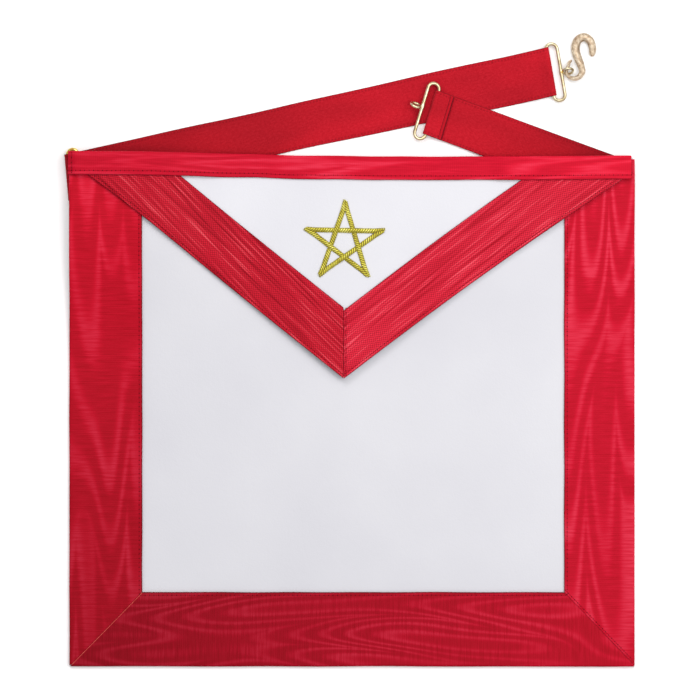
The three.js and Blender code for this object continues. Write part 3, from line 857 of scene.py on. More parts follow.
BESIDE_MITRE = 0.6 * MM
low_mitre = [mix(0.012, 0.992, t) for t in steps(60)]
bottom_width = BORDER_WIDTH["bottom"]
left_mitre = [(t * BORDER_WIDTH["left"] - HALF_WIDTH, t * bottom_width - HEIGHT) for t in low_mitre]
right_mitre = [(HALF_WIDTH - t * BORDER_WIDTH["right"], t * bottom_width - HEIGHT) for t in low_mitre]
tip_mitre = [(FLAP_TIP_SHIFT, mix(1.5 * MM, 49 * MM, t) - FLAP_DROP) for t in steps(40)]
# Painted highlight and painted shade: the light fold stands for light on the lower left fold's edge, the
# dark one for the shade in the joints.
painted_highlight_fold = fold_material("lit ribbon fold", srgb(206, 58, 58), srgb(232, 104, 92))
painted_shade_fold = fold_material("ribbon fold", srgb(96, 3, 16), srgb(124, 6, 24))
for name, line, aside, height, radius, under, material in (
    ("mitre_seam_left", left_mitre, 0, -0.2 * MM, 0.26 * MM, ("left", "bottom"), painted_shade_fold),
    ("mitre_fold_left", left_mitre, 0.45 * MM, 0.03 * MM, 0.17 * MM, ("left", "bottom"), painted_highlight_fold),
    ("mitre_seam_right", right_mitre, 0, -0.14 * MM, 0.24 * MM, ("right", "bottom"), painted_shade_fold),
    ("mitre_seam_flap", tip_mitre, 0, -0.08 * MM, 0.24 * MM, ("flap_left", "flap_right"), painted_shade_fold),
):
    beside = [(x + BESIDE_MITRE, y) for x, y in line]
    laid = laid_on([beside], [ribbons[key] for key in under])[0]
    points = [(x - BESIDE_MITRE + aside, y, z + height) for x, y, z in laid]
    tube_object(name, points, radius, material)


# The star: five interlaced bars of gold bullion, a fine metal spring cut short and laid aslant over a
# padded line, each turn beside the next. Every bar goes over one neighbour and under another.
STAR_RADIUS = 27.6 * MM
STAR_DROP = 63.5 * MM
STAR_SHIFT = -5.8 * MM
STAR_TURN = -1.2
STAR_BAR = 4.0 * MM
STAR_HEIGHT = 1.5 * MM
STAR_TIP = 1.4 * MM
STAR_WEAVE = 0.5 * MM
STAR_MERGE = 0.35 * MM
POINT_SWELL = 1.12
BULLION_PITCH = 1.75 * MM
BULLION_WIRE = 0.56 * MM
# (place across, height) of the padding's outline, as shares of the bar's width and of the star's height
PADDING_OUTLINE = [(-0.44, 0.0), (-0.36, 0.55), (0, 0.78), (0.36, 0.55), (0.44, 0.0)]


def bullion():
    shader = Shader("gold bullion", Metallic=0.75, Roughness=0.36)
    tarnish = shader.noise(shader.place((120, 120, 120)), 3)
    colour = shader.ramp(
        tarnish, (0.3, srgb(162, 148, 42)), (0.5, srgb(202, 194, 68)), (0.72, srgb(230, 226, 122))
    )
    shader.paint("Base Color", colour)
    turns = shader.noise(shader.place((3200, 3200, 3200)), 1)
    shader.paint("Normal", shader.bump(turns, 0.05 * MM, 0.5))
    return shader.material


def coil_mesh(material):
    """One turn of bullion over the padding, as an arch aslant across X."""
    mesh = bpy.data.meshes.new("bullion_turn")
    bm = bmesh.new()
    slant = math.radians(38)
    thick = BULLION_WIRE
    rings = []
    for share in steps(12):
        angle = math.pi * share
        across = -math.cos(angle) * (STAR_BAR / 2 - thick)
        up = math.sin(angle) * (STAR_HEIGHT - thick)
        centre = Vector((across * math.tan(slant), across, up + 0.1 * MM))
        rising = Vector((math.sin(angle) * math.tan(slant), math.sin(angle), math.cos(angle) * 0.7))
        way = rising.normalized()
        side = way.cross(Vector((1, 0, 0))).normalized()
        other = way.cross(side).normalized()
        ring = []
        for k in range(6):
            turn = 2 * math.pi * k / 6
            ring.append(bm.verts.new(centre + thick * (math.cos(turn) * side + math.sin(turn) * other)))
        rings.append(ring)
    for a, b in zip(rings, rings[1:]):
        for k in range(6):
            bm.faces.new((a[k], a[(k + 1) % 6], b[(k + 1) % 6], b[k]))
    bm.faces.new(rings[0])
    bm.faces.new(list(reversed(rings[-1])))
    bmesh.ops.recalc_face_normals(bm, faces=bm.faces)
    for face in bm.faces:
        face.smooth = True
    bm.to_mesh(mesh)
    bm.free()
    mesh.materials.append(material)
    return mesh


def star_bars():
    """Five rows of (place, width, height) along the bars. Two bars share each point of the star, and there
    each of them keeps to its own side of the line between them."""
    centre = Vector((STAR_SHIFT, -STAR_DROP))
    tips = []
    for k in range(5):
        angle = math.radians(90 + STAR_TURN - 72 * k)
        tips.append(centre + STAR_RADIUS * Vector((math.cos(angle), math.sin(angle))))
    golden = (math.sqrt(5) - 1) / 2
    half_point = math.tan(math.radians(18))
    bars = []
    for k, tip in enumerate(tips):
        way = tips[(k + 2) % 5] - tip
        length = way.length
        way.normalize()
        inwards = Vector((-way.y, way.x))
        if inwards.dot(centre - tip) < 0:
            inwards = -inwards
        bar = []
        for share in steps(90):
            s = mix(-STAR_TIP, length + STAR_TIP, share)
            from_end = min(s, length - s)
            outer = STAR_BAR / 2 * mix(POINT_SWELL, 1, smooth(from_end, -STAR_TIP, 6 * MM))
            inner = min(STAR_BAR / 2, from_end * half_point + STAR_MERGE)
            width = max(outer + inner, 0.5 * MM)
            place = tip + way * s + inwards * (inner - outer) / 2
            part = s / length
            rise = STAR_WEAVE * (1 - smooth(abs(part - golden), 0.03, 0.13))
            dip = STAR_WEAVE * (1 - smooth(abs(part - (1 - golden)), 0.03, 0.09))
            height = flap_height(place.x, place.y) + LEATHER + rise - dip
            bar.append((place, width, height))
        bars.append(bar)
    return bars


def padding_object(bars, material):
    """The padded lines under the turns, as low ridges."""
    mesh = bpy.data.meshes.new("bullion_padding")
    bm = bmesh.new()
    for bar in bars:
        rings = []
        for i, (place, width, height) in enumerate(bar):
            before = bar[max(i - 1, 0)][0]
            after = bar[min(i + 1, len(bar) - 1)][0]
            side = (after - before).orthogonal().normalized()
            ring = []
            for across, up in PADDING_OUTLINE:
                x, y = place + side * across * width
                ring.append(bm.verts.new(placed(x, y, height + up * STAR_HEIGHT)))
            rings.append(ring)
        for a, b in zip(rings, rings[1:]):
            for k in range(5):
                bm.faces.new((a[k], a[(k + 1) % 5], b[(k + 1) % 5], b[k]))
        bm.faces.new(rings[0])
        bm.faces.new(list(reversed(rings[-1])))
    bmesh.ops.recalc_face_normals(bm, faces=bm.faces)
    bm.to_mesh(mesh)
    bm.free()
    mesh.materials.append(material)
    mesh.shade_smooth()
    obj = bpy.data.objects.new("bullion_padding", mesh)
    bpy.context.collection.objects.link(obj)
    return obj


def padding_material():
    shader = Shader("waxed padding", Roughness=0.7)
    fibre = shader.noise(shader.place((900, 900, 900)), 2)
    shader.paint("Base Color", shader.ramp(fibre, (0.3, srgb(116, 98, 28)), (0.7, srgb(148, 126, 44))))
    return shader.material


gold_thread = bullion()
coil = bpy.data.objects.new("bullion_turn", coil_mesh(gold_thread))
bpy.context.collection.objects.link(coil)
bars = star_bars()
star_lines = []
for bar in bars:
    star_lines.append([(*placed(*place, height), width / STAR_BAR) for place, width, height in bar])
star = rows_of("bullion_star", star_lines, row_tree(coil), BULLION_PITCH, [gold_thread])
bpy.data.objects.remove(coil)
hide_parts("star_embroidery")
padding = padding_object(bars, padding_material())
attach(padding, "apron")


# The belt: red woven elastic. The long end runs from the corner loop up to the hook's loop, and the
# short end turns back on a slanting fold behind the other corner. Each end is lapped round its wire.
BELT_WIDTH = 33 * MM
LAP = 14 * MM
STRAP_SHEET = 0.9 * MM
LONG_LENGTH = 358.4 * MM
LONG_ANGLE = math.radians(12.5)
LONG_START = Vector((-HALF_WIDTH - 3 * MM, -17 * MM))
LONG_SKEW = (math.radians(7.5), math.radians(2.7))
SHORT_LENGTH = 152.5 * MM
SHORT_ANGLE = math.radians(-20.2)
SHORT_START = Vector((HALF_WIDTH - 147.8 * MM, 30.5 * MM))
SHORT_SKEW = math.radians(3.2)
TAB_LENGTH = 45 * MM
FOLD_APPROACH = 4 * MM
CROSS_LENGTH = 44 * MM
DROP_LENGTH = 30 * MM
FAR_WIDENING = 1.07
FAR_DROP = 0.8 * MM
WIRE_INSET = FOLD_RADIUS + ELASTIC / 2
FLOOR_LAYER = ELASTIC / 2
WIRE_HEIGHT = FLOOR_LAYER + FOLD_RADIUS


def woven_elastic(name, shaded_place, lit_place):
    """Elastic with painted shade along it: its brightness changes evenly from a (place along it,
    brightness) at its shaded place to one at its lit place.
    """
    shader = Shader(name, Roughness=0.85, Specular_IOR_Level=0.08, Sheen_Weight=0.05, Sheen_Roughness=0.5)
    cloth = shader.node("ShaderNodeUVMap", uv_map="cloth").outputs["UV"]
    split = shader.node("ShaderNodeSeparateXYZ", {0: cloth})
    cords = shader.math("SINE", shader.math("MULTIPLY", split.outputs[1], 2 * math.pi / (0.95 * MM)))
    picks = shader.math("SINE", shader.math("MULTIPLY", split.outputs[0], 2 * math.pi / (1.1 * MM)))
    weave = shader.math("MULTIPLY", cords, picks)
    lint = shader.noise(shader.place((420, 900, 1), cloth), 3, 0.7)
    share = shader.math("MULTIPLY_ADD", weave, 0.2, shader.math("MULTIPLY_ADD", lint, 0.56, 0.22))
    dark, middle, light = srgb(136, 6, 18), srgb(172, 16, 31), srgb(206, 44, 58)
    colour = shader.ramp(share, (0.15, dark), (0.5, middle), (0.9, light))
    pulls = shader.noise(shader.place((14, 45, 1), cloth), 1)
    colour = shader.mixed(1.0, colour, shader.ramp(pulls, (0.3, 0.86), (0.7, 1.08)), "MULTIPLY")
    from_rail = shader.math(
        "ABSOLUTE",
        shader.math("SUBTRACT", shader.math("ABSOLUTE", split.outputs[1]), BELT_WIDTH / 2 - 1.9 * MM),
    )
    rail = shader.ramp(shader.math("DIVIDE", from_rail, 0.9 * MM), (0.35, 0.36), (1.0, 0.0))
    knots = shader.math("SINE", shader.math("MULTIPLY", split.outputs[0], 2 * math.pi / (2.4 * MM)))
    dotted = shader.math("MULTIPLY", rail, shader.math("MULTIPLY_ADD", knots, 0.5, 0.5))
    colour = shader.mixed(dotted, colour, srgb(70, 2, 10))
    # Painted shade: the strap darkens within a millimetre of its edges, as the shadow of its thickness.
    from_edge = shader.math("SUBTRACT", BELT_WIDTH / 2, shader.math("ABSOLUTE", split.outputs[1]))
    edge = shader.ramp(shader.math("DIVIDE", from_edge, 1.0 * MM), (0.0, 0.45), (0.8, 1.0))
    colour = shader.mixed(1.0, colour, edge, "MULTIPLY")
    # Painted shade: darker towards the shaded place, where the strap passes under the apron's top.
    between = shader.math("SUBTRACT", split.outputs[0], shaded_place[0])
    painted_shade_along = shader.ramp(
        shader.math("DIVIDE", between, lit_place[0] - shaded_place[0]), (0, shaded_place[1]), (1, lit_place[1])
    )
    shader.paint("Base Color", shader.mixed(1.0, colour, painted_shade_along, "MULTIPLY"))
    height = shader.math("ADD", shader.math("MULTIPLY", cords, 0.7), weave)
    shader.paint("Normal", shader.bump(height, 0.09 * MM, 0.6))
    return shader.material


def wire_fold(last=113, count=24):
    """The strap's middle round a wire at the origin: under it, round its far side, and back over it."""
    round_part = []
    for share in steps(count):
        angle = math.radians(mix(-90, last, share))
        round_part.append((FOLD_RADIUS * math.cos(angle), FOLD_RADIUS * math.sin(angle)))
    x, z = round_part[-1]
    level = LAYER - FOLD_RADIUS
    slide = (z - level) / math.tan(math.radians(last - 90))
    start, knee, end = Vector((x, z)), Vector((x - slide, level)), Vector((x - slide - WIRE, level))
    curve = [start.lerp(knee, t).lerp(knee.lerp(end, t), t) for t in steps(8)[1:]]
    return round_part + [tuple(point) for point in curve]


def strap_object(name, path, width, lay, material):
    """A strap along a path of (along, height), laid out by lay(along, across, height)."""
    grid = []
    walked = 0.0
    for i, (s, z) in enumerate(path):
        before = path[max(i - 1, 0)]
        after = path[min(i + 1, len(path) - 1)]
        walked += math.hypot(s - before[0], z - before[1])
        way = Vector((after[0] - before[0], after[1] - before[1])).normalized()
        offset = Vector((-way.y, way.x)) * STRAP_SHEET / 2
        row = []
        for share in steps(16):
            across = (share - 0.5) * width
            selvedge = 1 - 0.25 * smooth(abs(across), 0.44 * width, 0.5 * width)
            point = lay(s + offset.x * selvedge, across, z + offset.y * selvedge)
            row.append((point, (walked, across)))
        grid.append(row)
    return sheet_object(name, grid, STRAP_SHEET, material, folded=True)


def long_path():
    fold = wire_fold()
    far = LONG_LENGTH - WIRE_INSET
    start = [(WIRE_INSET - s, z + WIRE_HEIGHT) for s, z in fold][::-1]
    end = [(far + s, z + WIRE_HEIGHT) for s, z in fold][::-1]
    run = [(mix(LAP, far - 2 * LAP, share), FLOOR_LAYER) for share in steps(120)]
    climb = [
        (mix(far - 2 * LAP, far - LAP, t), FLOOR_LAYER + LAYER * smooth(t, 0, 1)) for t in steps(6)[1:]
    ]
    under = [(mix(far - 1.5 * MM, far - LAP, t), FLOOR_LAYER) for t in steps(5)[1:]]
    return [(LAP, FLOOR_LAYER + LAYER)] + start + run[1:] + climb + end + under


def long_frame():
    place = placed(LONG_START.x, LONG_START.y, 0)
    return Matrix.Translation(place) @ Matrix.Rotation(LONG_ANGLE, 4, "Z")


def lay_long(s, across, z):
    skew = mix(LONG_SKEW[0], LONG_SKEW[1], smooth(s, 0, LONG_LENGTH))
    far = smooth(s, 0.4 * LONG_LENGTH, 0.9 * LONG_LENGTH)
    across *= mix(1, FAR_WIDENING, far)
    sway = 0.5 * MM * ripple(s, 0, 60 * MM, 4.4) * smooth(s, 0, 40 * MM) - FAR_DROP * far
    return long_frame() @ Vector((s + across * math.tan(skew), across + sway, z))


def short_path():
    low = FLOOR_LAYER + LAYER
    fold = [(WIRE_INSET - s, z + low + FOLD_RADIUS) for s, z in wire_fold()][::-1]
    turn = math.pi * LAYER / 2
    run = [mix(LAP, SHORT_LENGTH - FOLD_APPROACH, t) for t in steps(60)]
    run += [SHORT_LENGTH - FOLD_APPROACH + (FOLD_APPROACH + turn) * t for t in steps(24)[1:]]
    run += [SHORT_LENGTH + turn + TAB_LENGTH * t for t in steps(12)[1:]]
    path = [(LAP, low + LAYER), ((LAP + WIRE_INSET) / 2 + 2 * MM, low + LAYER)] + fold
    for s in run:
        crossing = 1 - smooth(s, CROSS_LENGTH, CROSS_LENGTH + DROP_LENGTH)
        path.append((s, FLOOR_LAYER + (LAYER * crossing if s < SHORT_LENGTH else 0)))
    return path


def short_frame():
    place = placed(SHORT_START.x, SHORT_START.y, 0)
    return Matrix.Translation(place) @ Matrix.Rotation(SHORT_ANGLE, 4, "Z")


def lay_short(s, across, z):
    """The strap straight, then turned back on itself over the slanting fold."""
    lean = -SHORT_ANGLE / 2
    radius = LAYER / 2
    turn = math.pi * radius
    straight = mix(SHORT_SKEW, lean, smooth(s, 0, SHORT_LENGTH - LAP))
    skew = straight * (1 - smooth(s, SHORT_LENGTH + LAP, SHORT_LENGTH + TAB_LENGTH))
    laid = s - across * math.tan(skew)
    past = (laid - SHORT_LENGTH) * math.cos(lean) + across * math.sin(lean)
    if past <= 0:
        return short_frame() @ Vector((laid, across, z))
    turned = min(past / radius, math.pi)
    swing = radius - (z - FLOOR_LAYER)
    out = swing * math.sin(turned) - max(past - turn, 0)
    return short_frame() @ Vector((
        laid + (out - past) * math.cos(lean),
        across + (out - past) * math.sin(lean),
        FLOOR_LAYER + radius - swing * math.cos(turned),
    ))


# Painted shade: each strap is darker towards where it goes under the apron's top.
long_elastic = woven_elastic("woven elastic, long", (20 * MM, 0.72), (240 * MM, 1.04))
short_elastic = woven_elastic("woven elastic, short", (180 * MM, 0.54), (60 * MM, 1.05))
belt_long = strap_object("elastic_belt_long", long_path(), BELT_WIDTH, lay_long, long_elastic)
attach(belt_long, "apron")
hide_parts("belt_long")
belt_short = strap_object("elastic_belt_short", short_path(), BELT_WIDTH, lay_short, short_elastic)
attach(belt_short, "apron")
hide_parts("belt_short")


# The short end's lap over the eye's wire: its raw edge is turned under and sewn down, so it ends in a
# round ridge of doubled elastic between two rows of stitches that have sunk in. The grooves of these rows
# are thin dark tubes: painted shade.
lap_top = FLOOR_LAYER + 2 * LAYER + ELASTIC / 2
for name, s, height, radius, material in (
    ("lap_ridge", LAP - 1.1 * MM, -0.4 * MM, 0.85 * MM, short_elastic),
    ("lap_seam_outer", LAP + 0.05 * MM, -0.12 * MM, 0.4 * MM, painted_shade_fold),
    ("lap_seam_inner", LAP - 2.3 * MM, -0.1 * MM, 0.22 * MM, painted_shade_fold),
):
    across = [(t - 0.5) * (BELT_WIDTH - 0.8 * MM) for t in steps(40)]
    points = [lay_short(s, place, lap_top + height) for place in across]
    tube_object(name, points, radius, material)


# The wire loops: gilt wire bent to long loops with round ends and soldered shut. Two of them have an
# eye, a ring of thinner wire on the middle of the outer leg. The third one is behind the left corner.
LOOP_LENGTH = 41.3 * MM
LOOP_SPREAD = 8.2 * MM
LOOP_WIRE = 2.45 * MM
JOINT_SWELL = 0.3
EYE_RADIUS = 3.6 * MM
EYE_WIRE = 1.7 * MM
EYE_REACH = 5 * MM
EYE_SHIFT = 1.8 * MM
HOOK_LOOP_SLIP = 1.9 * MM
HOOK_EYE_SHIFT = EYE_SHIFT - 1.0 * MM
CORNER_LOOP_SLIP = 1.1 * MM
HOOK_EYE_LEAN = math.radians(58)
FREE_EYE_LEAN = math.radians(68)
FREE_EYE_WIRE = 2.1 * MM


def gilt(name, light, middle, dark, roughness):
    shader = Shader(name, Metallic=1.0, Roughness=roughness)
    wear = shader.noise(shader.place((160, 160, 160)), 4, 0.6)
    shader.paint("Base Color", shader.ramp(wear, (0.3, dark), (0.5, middle), (0.68, light)))
    dents = shader.noise(shader.place((900, 900, 900)), 2)
    shader.paint("Normal", shader.bump(dents, 0.04 * MM, 0.4))
    return shader.material


def tube_between(bm, points, radii, sides=16, closed=False):
    """Skins round rings of wire along the points."""
    rings = []
    count = len(points)
    for i, (point, radius) in enumerate(zip(points, radii)):
        before = points[i - 1] if closed or i else point
        after = points[(i + 1) % count] if closed or i + 1 < count else point
        way = (after - before).normalized()
        side = way.cross(Vector((0, 0, 1))).normalized()
        up = side.cross(way).normalized()
        ring = []
        for k in range(sides):
            angle = 2 * math.pi * k / sides
            ring.append(bm.verts.new(point + radius * (math.cos(angle) * side + math.sin(angle) * up)))
        rings.append(ring)
    pairs = list(zip(rings, rings[1:]))
    if closed:
        pairs.append((rings[-1], rings[0]))
    for a, b in pairs:
        for k in range(sides):
            bm.faces.new((a[k], a[(k + 1) % sides], b[(k + 1) % sides], b[k]))
    if not closed:
        bm.faces.new(list(reversed(rings[0])))
        bm.faces.new(rings[-1])


def round_end(middle, start):
    """A half circle round a middle on the loop's long axis, from a start in half turns."""
    radius = LOOP_SPREAD / 2
    angles = [math.pi * (start + t) for t in steps(14)[:-1]]
    return [Vector((radius + radius * math.cos(a), middle + radius * math.sin(a), 0)) for a in angles]


def loop_points(with_joint, eye_shift):
    """The loop's centre line and radii: one leg on the Y axis, the outer one at +X, where the eye's neck
    is soldered on and swells the wire."""
    straight = LOOP_LENGTH - LOOP_SPREAD
    points, radii = [], []
    for t in steps(30)[:-1]:
        y = straight * (t - 0.5)
        near = 1 - smooth(abs(y + eye_shift), 0.8 * MM, 3.2 * MM)
        points.append(Vector((LOOP_SPREAD, y, 0)))
        radii.append(LOOP_WIRE / 2 * (1 + (JOINT_SWELL * near if with_joint else 0)))
    points += round_end(straight / 2, 0)
    points += [Vector((0, straight * (0.5 - t), 0)) for t in steps(30)[:-1]]
    points += round_end(-straight / 2, 1)
    radii += [LOOP_WIRE / 2] * (len(points) - len(radii))
    return points, radii


def add_eye(bm, lean, wire, shift):
    """The ring that leans out of the loop's plane, and the neck between it and the outer leg."""
    turn = Matrix.Rotation(lean, 3, "X")
    normal = turn @ Vector((0, 0, 1))
    centre = Vector((LOOP_SPREAD + EYE_REACH, -shift, 0))
    rings = []
    for k in range(48):
        angle = 2 * math.pi * k / 48
        out = turn @ Vector((math.cos(angle), math.sin(angle), 0))
        ring = []
        for m in range(14):
            round_wire = 2 * math.pi * m / 14
            skin = math.cos(round_wire) * out + math.sin(round_wire) * normal
            ring.append(bm.verts.new(centre + EYE_RADIUS * out + wire / 2 * skin))
        rings.append(ring)
    for a, b in zip(rings, rings[1:] + rings[:1]):
        for m in range(14):
            bm.faces.new((a[m], a[(m + 1) % 14], b[(m + 1) % 14], b[m]))
    neck_end = LOOP_SPREAD + EYE_REACH - EYE_RADIUS
    neck = [Vector((mix(LOOP_SPREAD, neck_end, t), -shift, 0)) for t in steps(6)]
    tube_between(bm, neck, [mix(WIRE * 0.7, wire * 0.52, t) for t in steps(6)])


def loop_object(name, matrix, material, lean, eye_wire, eye_shift):
    """A loop of wire, with an eye unless its lean is None."""
    mesh = bpy.data.meshes.new(name)
    bm = bmesh.new()
    points, radii = loop_points(lean is not None, eye_shift)
    tube_between(bm, points, radii, closed=True)
    if lean is not None:
        add_eye(bm, lean, eye_wire, eye_shift)
    bmesh.ops.recalc_face_normals(bm, faces=bm.faces)
    bm.transform(matrix)
    bm.to_mesh(mesh)
    bm.free()
    mesh.materials.append(material)
    mesh.shade_smooth()
    obj = bpy.data.objects.new(name, mesh)
    bpy.context.collection.objects.link(obj)
    return obj


def seat(x, z, turn, tilt):
    """A place along a belt, turned in plan and tilted up along its own X."""
    place = Matrix.Translation((x, 0, z))
    return place @ Matrix.Rotation(turn, 4, "Z") @ Matrix.Rotation(-tilt, 4, "Y")


def loop_tilt(lean, leg_height, floor):
    """How far a loop tips up from its inner leg, so that its leaning eye stands on the floor under it."""
    eye_height = floor + EYE_RADIUS * math.sin(lean) + EYE_WIRE / 2
    return math.asin((eye_height - leg_height) / (LOOP_SPREAD + EYE_REACH))


brass = gilt("brass wire", srgb(240, 208, 120), srgb(220, 180, 84), srgb(170, 124, 44), 0.25)
champagne = gilt("gilt wire", srgb(224, 214, 186), srgb(206, 192, 156), srgb(160, 138, 96), 0.3)
anchor_leg = 2.5 * ELASTIC + 2 * GAP + FOLD_RADIUS
corner_tilt = math.asin((anchor_leg - WIRE_HEIGHT) / LOOP_SPREAD)
corner_seat = long_frame() @ seat(WIRE_INSET, WIRE_HEIGHT, -LONG_SKEW[0], corner_tilt)
hook_tilt = loop_tilt(HOOK_EYE_LEAN, WIRE_HEIGHT, 0)
hook_seat = long_frame() @ seat(LONG_LENGTH - WIRE_INSET, WIRE_HEIGHT, -LONG_SKEW[1], hook_tilt)
eye_leg = FLOOR_LAYER + LAYER + FOLD_RADIUS
eye_tilt = loop_tilt(FREE_EYE_LEAN, eye_leg, LAYER)
eye_seat = short_frame() @ seat(WIRE_INSET, eye_leg, math.pi + SHORT_SKEW, eye_tilt)
slipped_seat = hook_seat @ Matrix.Translation((0, -HOOK_LOOP_SLIP, 0))
sunk_seat = corner_seat @ Matrix.Translation((0, -CORNER_LOOP_SLIP, 0))
for name, node, matrix, lean, eye_wire, eye_shift, metal in (
    ("wire_loop_corner", "corner_loop", sunk_seat, None, 0, 0, brass),
    ("wire_loop_hook", "hook_loop", slipped_seat, HOOK_EYE_LEAN, EYE_WIRE, HOOK_EYE_SHIFT, champagne),
    ("wire_loop_eye", "eye_loop", eye_seat, FREE_EYE_LEAN, FREE_EYE_WIRE, EYE_SHIFT, champagne),
):
    loop = loop_object(name, matrix, metal, lean, eye_wire, eye_shift)
    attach(loop, "apron")
    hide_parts(node)


# The binding: the hook's eye is held to its loop by a little more than two turns of thinner brass
# wire, wound round its neck.
BINDING_TURNS = 2.25
BINDING_RADIUS = 1.35 * MM
BINDING_WIRE = 0.72 * MM
BINDING_START = -0.1 * MM
BINDING_END = 1.3 * MM
turns = []
for t in steps(60):
    angle = 2 * math.pi * BINDING_TURNS * t
    out = LOOP_SPREAD + mix(BINDING_START, BINDING_END, t)
    aside = BINDING_RADIUS * math.cos(angle) - HOOK_EYE_SHIFT
    turns.append(slipped_seat @ Vector((out, aside, BINDING_RADIUS * math.sin(angle))))
tube_object("brass_binding", turns, BINDING_WIRE / 2, brass)


# The tab behind the left corner: a short doubled piece of the same elastic round the corner loop's
# inner leg, sewn to the apron's back.
ANCHOR_WIDTH = 30 * MM
ANCHOR_LENGTH = 34 * MM


def anchor_path():
    upper = [(mix(ANCHOR_LENGTH, 0, t), FOLD_RADIUS) for t in steps(12)[:-1]]
    fold = [(-s, -z) for s, z in wire_fold()]
    return upper + fold + [(ANCHOR_LENGTH, FOLD_RADIUS - LAYER)]


anchor_frame = corner_seat @ seat(LOOP_SPREAD, 0, 0, -corner_tilt)
anchor = strap_object(
    "elastic_anchor_tab",
    anchor_path(),
    ANCHOR_WIDTH,
    lambda s, across, z: anchor_frame @ Vector((s, across, z)),
    short_elastic,
)
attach(anchor, "apron")
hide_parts("anchor_tab")


# The snake hook: a cast gilt snake bent to an S. Its body is thickest in the upper bend, its tail is
# curled shut round the eye, and its back is engraved with scales.
CURL_RADIUS = 4.9 * MM
CURL_OFFSET = 8.6 * MM
CURL_DROP = 1.85 * MM
CURL_WIRE = 2.5 * MM
HOOK_SIZE = 32.4 * MM
HOOK_BODY = 6.1 * MM
HOOK_THICKNESS = 3.6 * MM
TIP_ROUND = 1.2 * MM
SCALE_PITCH = 1.6 * MM
SCALES_ROUND = 5
# (to the right, up, width) from the head down the shank, as shares of the hook's size and of its body
HOOK_ROWS = [
    (0.403, 0.335, 0.4),
    (0.42, 0.41, 0.76),
    (0.425, 0.543, 0.9),
    (0.37, 0.695, 0.97),
    (0.25, 0.772, 0.97),
    (0.12, 0.72, 0.98),
    (0.055, 0.59, 1.0),
    (0.055, 0.45, 1.0),
    (0.105, 0.3, 0.97),
    (0.165, 0.15, 0.86),
]
# (angle round the curl's centre, reach as a share of its radius, width as a share of the body)
CURL_ROWS = [
    (0, 1.3, 0.76),
    (-35, 1.16, 0.66),
    (-70, 1.05, 0.57),
    (-105, 1.0, 0.48),
    (-135, 1.0, 0.42),
    (-175, 1.0, 0.41),
    (-215, 1.0, 0.41),
]
# (to the right, up, width) of the tail's tip, as in the first rows
CURL_END = [(-0.085, 0.205, 0.38), (-0.035, 0.262, 0.3)]


def hook_rows():
    rows = [(x * HOOK_SIZE, y * HOOK_SIZE, w) for x, y, w in HOOK_ROWS]
    for angle, reach, width in CURL_ROWS:
        turn = math.radians(angle)
        radius = CURL_RADIUS * reach
        rows.append((radius * math.cos(turn), radius * math.sin(turn), width))
    rows += [(x * HOOK_SIZE, y * HOOK_SIZE, w) for x, y, w in CURL_END]
    return rows


def centripetal(points, at):
    """The centripetal Catmull-Rom curve through the points, at a count of points along it."""
    i = min(int(at), len(points) - 2)
    t = at - i
    p1, p2 = points[i], points[i + 1]
    p0 = points[i - 1] if i else p1 + (p1 - p2)
    p3 = points[i + 2] if i + 2 < len(points) else p2 + (p2 - p1)
    d1, d2, d3 = (max((b - a).length ** 0.5, 1e-6) for a, b in ((p0, p1), (p1, p2), (p2, p3)))
    m1 = ((p1 - p0) / d1 - (p2 - p0) / (d1 + d2) + (p2 - p1) / d2) * d2
    m2 = ((p2 - p1) / d2 - (p3 - p1) / (d2 + d3) + (p3 - p2) / d3) * d2
    cubic = 2 * p1 - 2 * p2 + m1 + m2
    square = -3 * p1 + 3 * p2 - 2 * m1 - m2
    return p1 + m1 * t + square * t * t + cubic * t ** 3


def engraved_gilt():
    shader = Shader("engraved gilt", Metallic=1.0, Roughness=0.28)
    cloth = shader.node("ShaderNodeUVMap", uv_map="cloth").outputs["UV"]
    split = shader.node("ShaderNodeSeparateXYZ", {0: cloth})
    along, around = split.outputs[0], split.outputs[1]
    advance = shader.math("MULTIPLY", along, 2 * math.pi / SCALE_PITCH)
    turn = shader.math("MULTIPLY", around, 2 * math.pi * SCALES_ROUND)
    one = shader.math("SINE", shader.math("ADD", advance, turn))
    two = shader.math("SINE", shader.math("SUBTRACT", advance, turn))
    scales = shader.math("POWER", shader.math("ABSOLUTE", shader.math("MULTIPLY", one, two)), 0.5)
    wear = shader.noise(shader.place((400, 400, 400)), 4, 0.6)
    dark, middle, light = srgb(180, 150, 124), srgb(216, 194, 166), srgb(248, 234, 212)
    metal = shader.ramp(wear, (0.3, dark), (0.5, middle), (0.68, light))
    cut = shader.ramp(scales, (0.1, srgb(140, 120, 100)), (0.5, srgb(255, 255, 255)))
    shader.paint("Base Color", shader.mixed(0.9, metal, cut, "MULTIPLY"))
    shader.paint("Normal", shader.bump(scales, 0.26 * MM, 0.7))
    return shader.material


def hook_sections():
    """Rows of (centre, way, half width, half thickness, length walked) from the head to the tail's tip."""
    rows = hook_rows()
    points = [Vector((x, y, 0)) for x, y, _ in rows]
    count = 200
    places = [t * (len(rows) - 1) for t in steps(count)]
    centres = [centripetal(points, at) for at in places]
    walked = [0.0]
    for a, b in zip(centres, centres[1:]):
        walked.append(walked[-1] + (b - a).length)
    sections = []
    for i, at in enumerate(places):
        k = min(int(at), len(rows) - 2)
        width = HOOK_BODY * mix(rows[k][2], rows[k + 1][2], at - k)
        thin = min(1, CURL_WIRE / width)
        thick = min(width, mix(CURL_WIRE, HOOK_THICKNESS, smooth(1 - thin, 0, 0.4)))
        from_tip = min(walked[i], walked[-1] - walked[i])
        taper = math.sqrt(max(1 - (1 - min(from_tip / TIP_ROUND, 1)) ** 2, 0.02))
        way = (centres[min(i + 1, count)] - centres[max(i - 1, 0)]).normalized()
        sections.append((centres[i], way, taper * width / 2, taper * thick / 2, walked[i]))
    return sections


